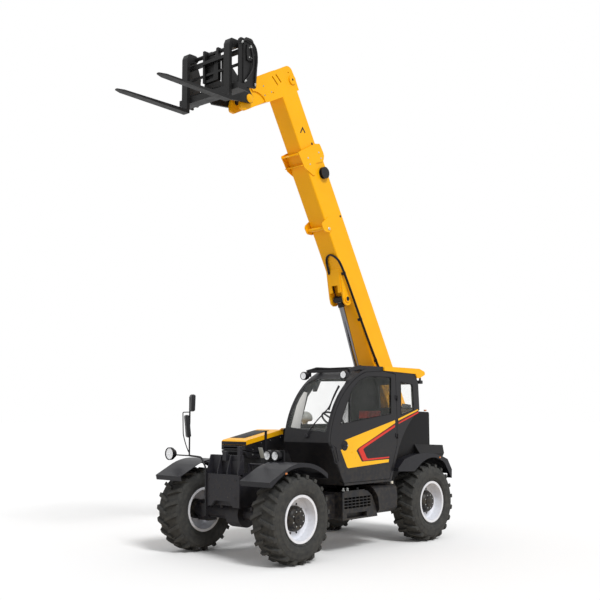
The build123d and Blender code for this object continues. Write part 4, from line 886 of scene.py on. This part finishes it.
class TELEHANDLER_OT_carriage(bpy.types.Operator):
    """Adds the centre plate, hoses, caps and brackets of the fork carriage"""
    bl_idname = "telehandler.carriage"
    bl_label = "Carriage details"

    def execute(self, context):
        outline = ((-150, 7500), (-40, 7497), (128, 7285), (132, 7030), (-150, 7030))
        plate = slab([(1611, y, z) for y, z in outline], (9, 0, 0), 2)
        stay = side_slab([(1440, 7440), (1560, 7440), (1574, 7330), (1560, 7200), (1440, 7200)], 632, 26, 4)
        rib = side_slab([(1395, 7300), (1440, 7300), (1440, 7330), (1395, 7330)], 632, 18, 3)
        fit(joined([plate, stay, rib]), "carriage_plates", "carriage",
            "fork_steel_black", 0)

        routes = (
            [(1662, 648, 7440), (1622, 652, 7498), (1500, 664, 7508), (1385, 660, 7435), (1350, 652, 7262),
             (1380, 650, 7050), (1391, 648, 6862)],
            [(1500, 668, 7420), (1470, 672, 7330), (1446, 668, 7200), (1450, 656, 7082), (1521, 650, 6960),
             (1596, 648, 6866)],
        )
        hoses = joined([bar(route, 14) for route in routes])
        fit(hoses, "carriage_hoses", "carriage", "hose_rubber")
        ends = ((routes[0][0], (0.55, 0, -0.8)), (routes[0][-1], (0, 0, -1)),
                (routes[1][0], (0.2, 0, 1)), (routes[1][-1], (0.6, 0, -0.8)))
        unions = [turned([(0, -26), (17, -26), (17, -4), (12, 0), (12, 14), (0, 14)], place, way, 12)
                  for place, way in ends]
        bolts = [(1522, 658.5, 7250), (1470, 658.5, 7250), (1522, 658.5, 7395)]
        unions.append(copies(hex_bolt(13), bolts, LEFT))
        fit(joined(unions), "carriage_unions", "carriage", "bolt_zinc")

        caps = on_both([(0, 0), (68, 0), (68, 6), (60, 11), (0, 11)], 5994, 205.4, -1010, 32)
        fit(joined(caps), "pivot_caps", "carriage", "boom_enamel_yellow")
        return {"FINISHED"}


class TELEHANDLER_OT_step_fittings(bpy.types.Operator):
    """Adds the pipe unions, knob and filler cap between the cab floor, step box and tank"""
    bl_idname = "telehandler.step_fittings"
    bl_label = "Fittings over the step box"

    def execute(self, context):
        union = [(0, 0), (24, 0), (24, 16), (15, 20), (15, 44), (0, 44)]
        unions = [turned(union, place, UP, 6) for place in ((-126, 1012, 925), (-214, 1018, 925))]
        unions.append(turned([(0, 0), (9, 0), (9, 60), (0, 60)], (-240, 1018, 951), FORWARD, 12))
        fit(joined(unions), "step_unions", "chassis", "bolt_zinc", 0)
        knob = turned([(0, 0), (20, 0), (24, 10), (20, 34), (0, 36)], (-454, 1015, 925), UP, 20)
        fit(knob, "step_knob", "chassis", "lamp_housing_abs")
        cap = turned([(0, -6), (24, -6), (24, 26), (18, 32), (0, 32)], (-1310, 1035, 972), UP, 24)
        fit(cap, "filler_cap", "chassis", "slide_nylon")
        return {"FINISHED"}


class TELEHANDLER_OT_hood(bpy.types.Operator):
    """Lays the black inlay in the lid and adds its front trim, the nose panel, the strap and the bolts"""
    bl_idname = "telehandler.hood"
    bl_label = "Hood details"

    def execute(self, context):
        inlay = side_slab([(400, 1689.6), (-150, 1795.4), (-150, 1798.2), (400, 1692.4)], -872, 330, 1)
        fit(inlay, "hood_inlay", "hood", "cab_trim_abs")
        trim = brick((565, -884, 1590), (574, -340, 1640), 3)
        fit(trim, "hood_front_trim", "hood", "cab_trim_abs")
        nose = side_slab([(564, 1504), (580, 1490), (560, 1440), (506, 1385), (250, 1385), (250, 1437)],
                         -884, 534, 8)
        fit(nose, "hood_nose", "chassis", "body_enamel_grey")
        strap = joined([brick((118, -339.5, 1430), (166, -326, 1806), 4),
                        brick((124, -326, 1760), (160, -320, 1800), 2)])
        fit(strap, "hood_strap", "chassis", "cab_trim_abs")
        bolts = [(x, -339.8, z) for x, z in ((230, 1615), (30, 1650), (-200, 1690), (420, 1520), (420, 1440))]
        fit(copies(hex_bolt(11), bolts, LEFT), "bay_wall_bolts", "chassis", "bolt_zinc")
        return {"FINISHED"}


class TELEHANDLER_OT_mast(bpy.types.Operator):
    """Rebuilds the mirror mast with its two heads turned to the driver, their loop and the work lamp"""
    bl_idname = "telehandler.mirror_mast"
    bl_label = "Mirror mast"

    def execute(self, context):
        x = MAST_X
        housing = [(0, -70), (46, -66), (62, -52), (68, -14), (90, -8), (96, 6), (96, 50), (87, 50), (87, 22),
                   (0, 22)]
        parts = [
            bar([(x, -330, 600), (x, -330, 1230), (x, -335, 1290), (x, -380, 1355), (x, -430, 1430),
                 (x, -470, 1442), (x, -690, 1452)], 14),
            bar([(x, -700, 1444), (x, -700, 1900), (x, -700, 2330)], 12),
            bar([(x, -690, 1452), (x, -900, 1452), (x, -1060, 1456)], 10),
            bar([(x, -700, 2098), (x, -835, 2098), (x, -858, 2090), (x, -856, 2060), (x, -846, 1790),
                 (x, -838, 1740), (x, -760, 1560), (x, -702, 1490)], 8),
            turned(housing, (x, -1110, 1470), FORWARD, 40),
            brick((x - 12, -1084, 1440), (x + 12, -1044, 1484), 4),
        ]
        heads = {
            # head: centre, half width, half height
            "lower": ((x - 10, -764, 1887), 85, 170),
            "upper": ((x - 10, -662, 2235), 100, 128),
        }
        for name, (place, half_width, half_height) in heads.items():
            face = DRIVER_EYE - Vector(place)
            shell = brick((-half_width, -half_height, -30), (half_width, half_height, 34), 26)
            parts.append(set_at(shell, place, face))
            parts.append(bar([place, (x, (place[1] - 700) / 2, place[2]), (x, -700, place[2])], 9))
            glass = brick((16 - half_width, 16 - half_height, 33),
                          (half_width - 16, half_height - 16, 37), 1.5)
            fit(set_at(glass, place, face), f"mirror_{name}_face", "chassis", "mirror_silvered")
        mast = fit(joined(parts), "mirror_mast_turned", "chassis", "lamp_housing_abs")
        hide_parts("mirror_mast")
        return {"FINISHED"}


class TELEHANDLER_OT_cab_outside(bpy.types.Operator):
    """Parks the wiper on the windscreen and adds the inside mirror, the rear lamp, linings and edges"""
    bl_idname = "telehandler.cab_outside"
    bl_label = "Wiper, mirror and cab fittings"

    def execute(self, context):
        blade = joined([
            bar([(-49, 1003, 2474), (50, 1012, 2364), (150, 1024, 2228), (216, 1036, 2122)], 9),
            bar([(-42, 1001, 2482), (60, 1010, 2370), (160, 1022, 2234), (226, 1034, 2126)], 5),
        ])
        fit(blade, "wiper_blade", "chassis", "seal_epdm")
        arm = joined([
            bar([(346, 700, 1745), (340, 740, 1800), (322, 830, 1920), (268, 980, 2080), (240, 1046, 2150),
                 (150, 1048, 2268), (20, 1046, 2440), (-30, 1044, 2478), (-44, 1003, 2484)], 9),
            turned([(0, 0), (34, 0), (34, 26), (26, 34), (0, 34)], (330, 700, 1740), (1, 0, 0.15), 24),
        ])
        fit(arm, "wiper_arm", "chassis", "cab_trim_abs")

        place = Vector((-205, 430, 2492))
        head = set_at(brick((-62, -92, -14), (62, 92, 16), 14), place, DRIVER_EYE - place)
        stem = bar([place, (-262, 440, 2560), (-300, 445, 2620)], 8)
        fit(joined([head, stem]), "interior_mirror", "chassis", "cab_trim_abs")

        lamp = joined([brick((-2108, 1052, 2548), (-2016, 1118, 2606), 10),
                       brick((-2080, 1076, 2600), (-2050, 1100, 2652), 3)])
        fit(lamp, "rear_work_lamp", "chassis", "lamp_housing_abs")

        lining = side_slab([(292, 1700), (80, 2236), (-60, 2410), (-150, 2392), (14, 1890), (14, 1700)],
                           281, 5, 1)
        fit(lining, "pillar_lining", "chassis", "lining_abs_pale")
        strip = joined([brick((-640, y, 2781), (-598, y + 260, 2786), 2) for y in (330, 780)])
        fit(strip, "visor_slats_bright", "chassis", "bolt_zinc")
        edge = bar([(-30, DOOR_FACE - 2, 1030), (160, DOOR_FACE - 2, 1350), (326, DOOR_FACE - 2, 1660)], 6)
        fit(edge, "pillar_edge_trim", "chassis", "seal_epdm")
        return {"FINISHED"}


class TELEHANDLER_OT_front(bpy.types.Operator):
    """Bolts the front plate and runs the steering hoses along both axles"""
    bl_idname = "telehandler.front"
    bl_label = "Front plate and axle details"

    def execute(self, context):
        bolts = [(1390, y, z) for z in (1130, 890) for y in (-280, -120, 120, 280)]
        bolts += [(1390, y, 1010) for y in (-180, -60, 60, 180)]
        fit(copies(hex_bolt(12), bolts, FORWARD), "front_plate_bolts", "chassis",
            "bolt_black_oxide")
        hoses = []
        for axle, side in WHEELS.values():
            hoses.append(bar([(axle + 60, side * 150, 760), (axle + 130, side * 260, 800),
                              (axle + 150, side * 400, 770), (axle + 110, side * 520, 700),
                              (axle + 60, side * 600, 690)], 11))
        fit(joined(hoses), "axle_hoses", "chassis", "hose_rubber")
        return {"FINISHED"}


class TELEHANDLER_PT_panel(bpy.types.Panel):
    """Lists the settings and the steps that dress the telehandler"""
    bl_idname = "TELEHANDLER_PT_panel"
    bl_label = "Telehandler"
    bl_space_type = "VIEW_3D"
    bl_region_type = "UI"
    bl_category = "Telehandler"

    def draw(self, context):
        scene = context.scene
        for group in (scene.telehandler_stage, scene.telehandler_paint, scene.telehandler_trim):
            box = self.layout.box()
            for name in group.bl_rna.properties.keys():
                if name not in ("rna_type", "name"):
                    box.prop(group, name)
        for operator in OPERATORS:
            self.layout.operator(operator.bl_idname)


OPERATORS = (
    TELEHANDLER_OT_stage, TELEHANDLER_OT_finishes, TELEHANDLER_OT_stripes, TELEHANDLER_OT_seat,
    TELEHANDLER_OT_cab_trim, TELEHANDLER_OT_lamps, TELEHANDLER_OT_wheels, TELEHANDLER_OT_boom,
    TELEHANDLER_OT_carriage, TELEHANDLER_OT_step_fittings, TELEHANDLER_OT_hood, TELEHANDLER_OT_mast,
    TELEHANDLER_OT_cab_outside, TELEHANDLER_OT_front,
)
SETTINGS = {
    "telehandler_stage": StageSettings,
    "telehandler_paint": PaintSettings,
    "telehandler_trim": TrimSettings,
}
CLASSES = (*SETTINGS.values(), *OPERATORS, TELEHANDLER_PT_panel)


def register():
    for cls in CLASSES:
        bpy.utils.register_class(cls)
    for name, group in SETTINGS.items():
        setattr(bpy.types.Scene, name, bpy.props.PointerProperty(type=group))


def unregister():
    for name in SETTINGS:
        delattr(bpy.types.Scene, name)
    for cls in reversed(CLASSES):
        bpy.utils.unregister_class(cls)


def main():
    register()
    for operator in OPERATORS:
        step = operator.bl_idname.split(".")[1]
        getattr(bpy.ops.telehandler, step)()
    bpy.context.view_layer.update()


if __name__ == "__main__":
    main()
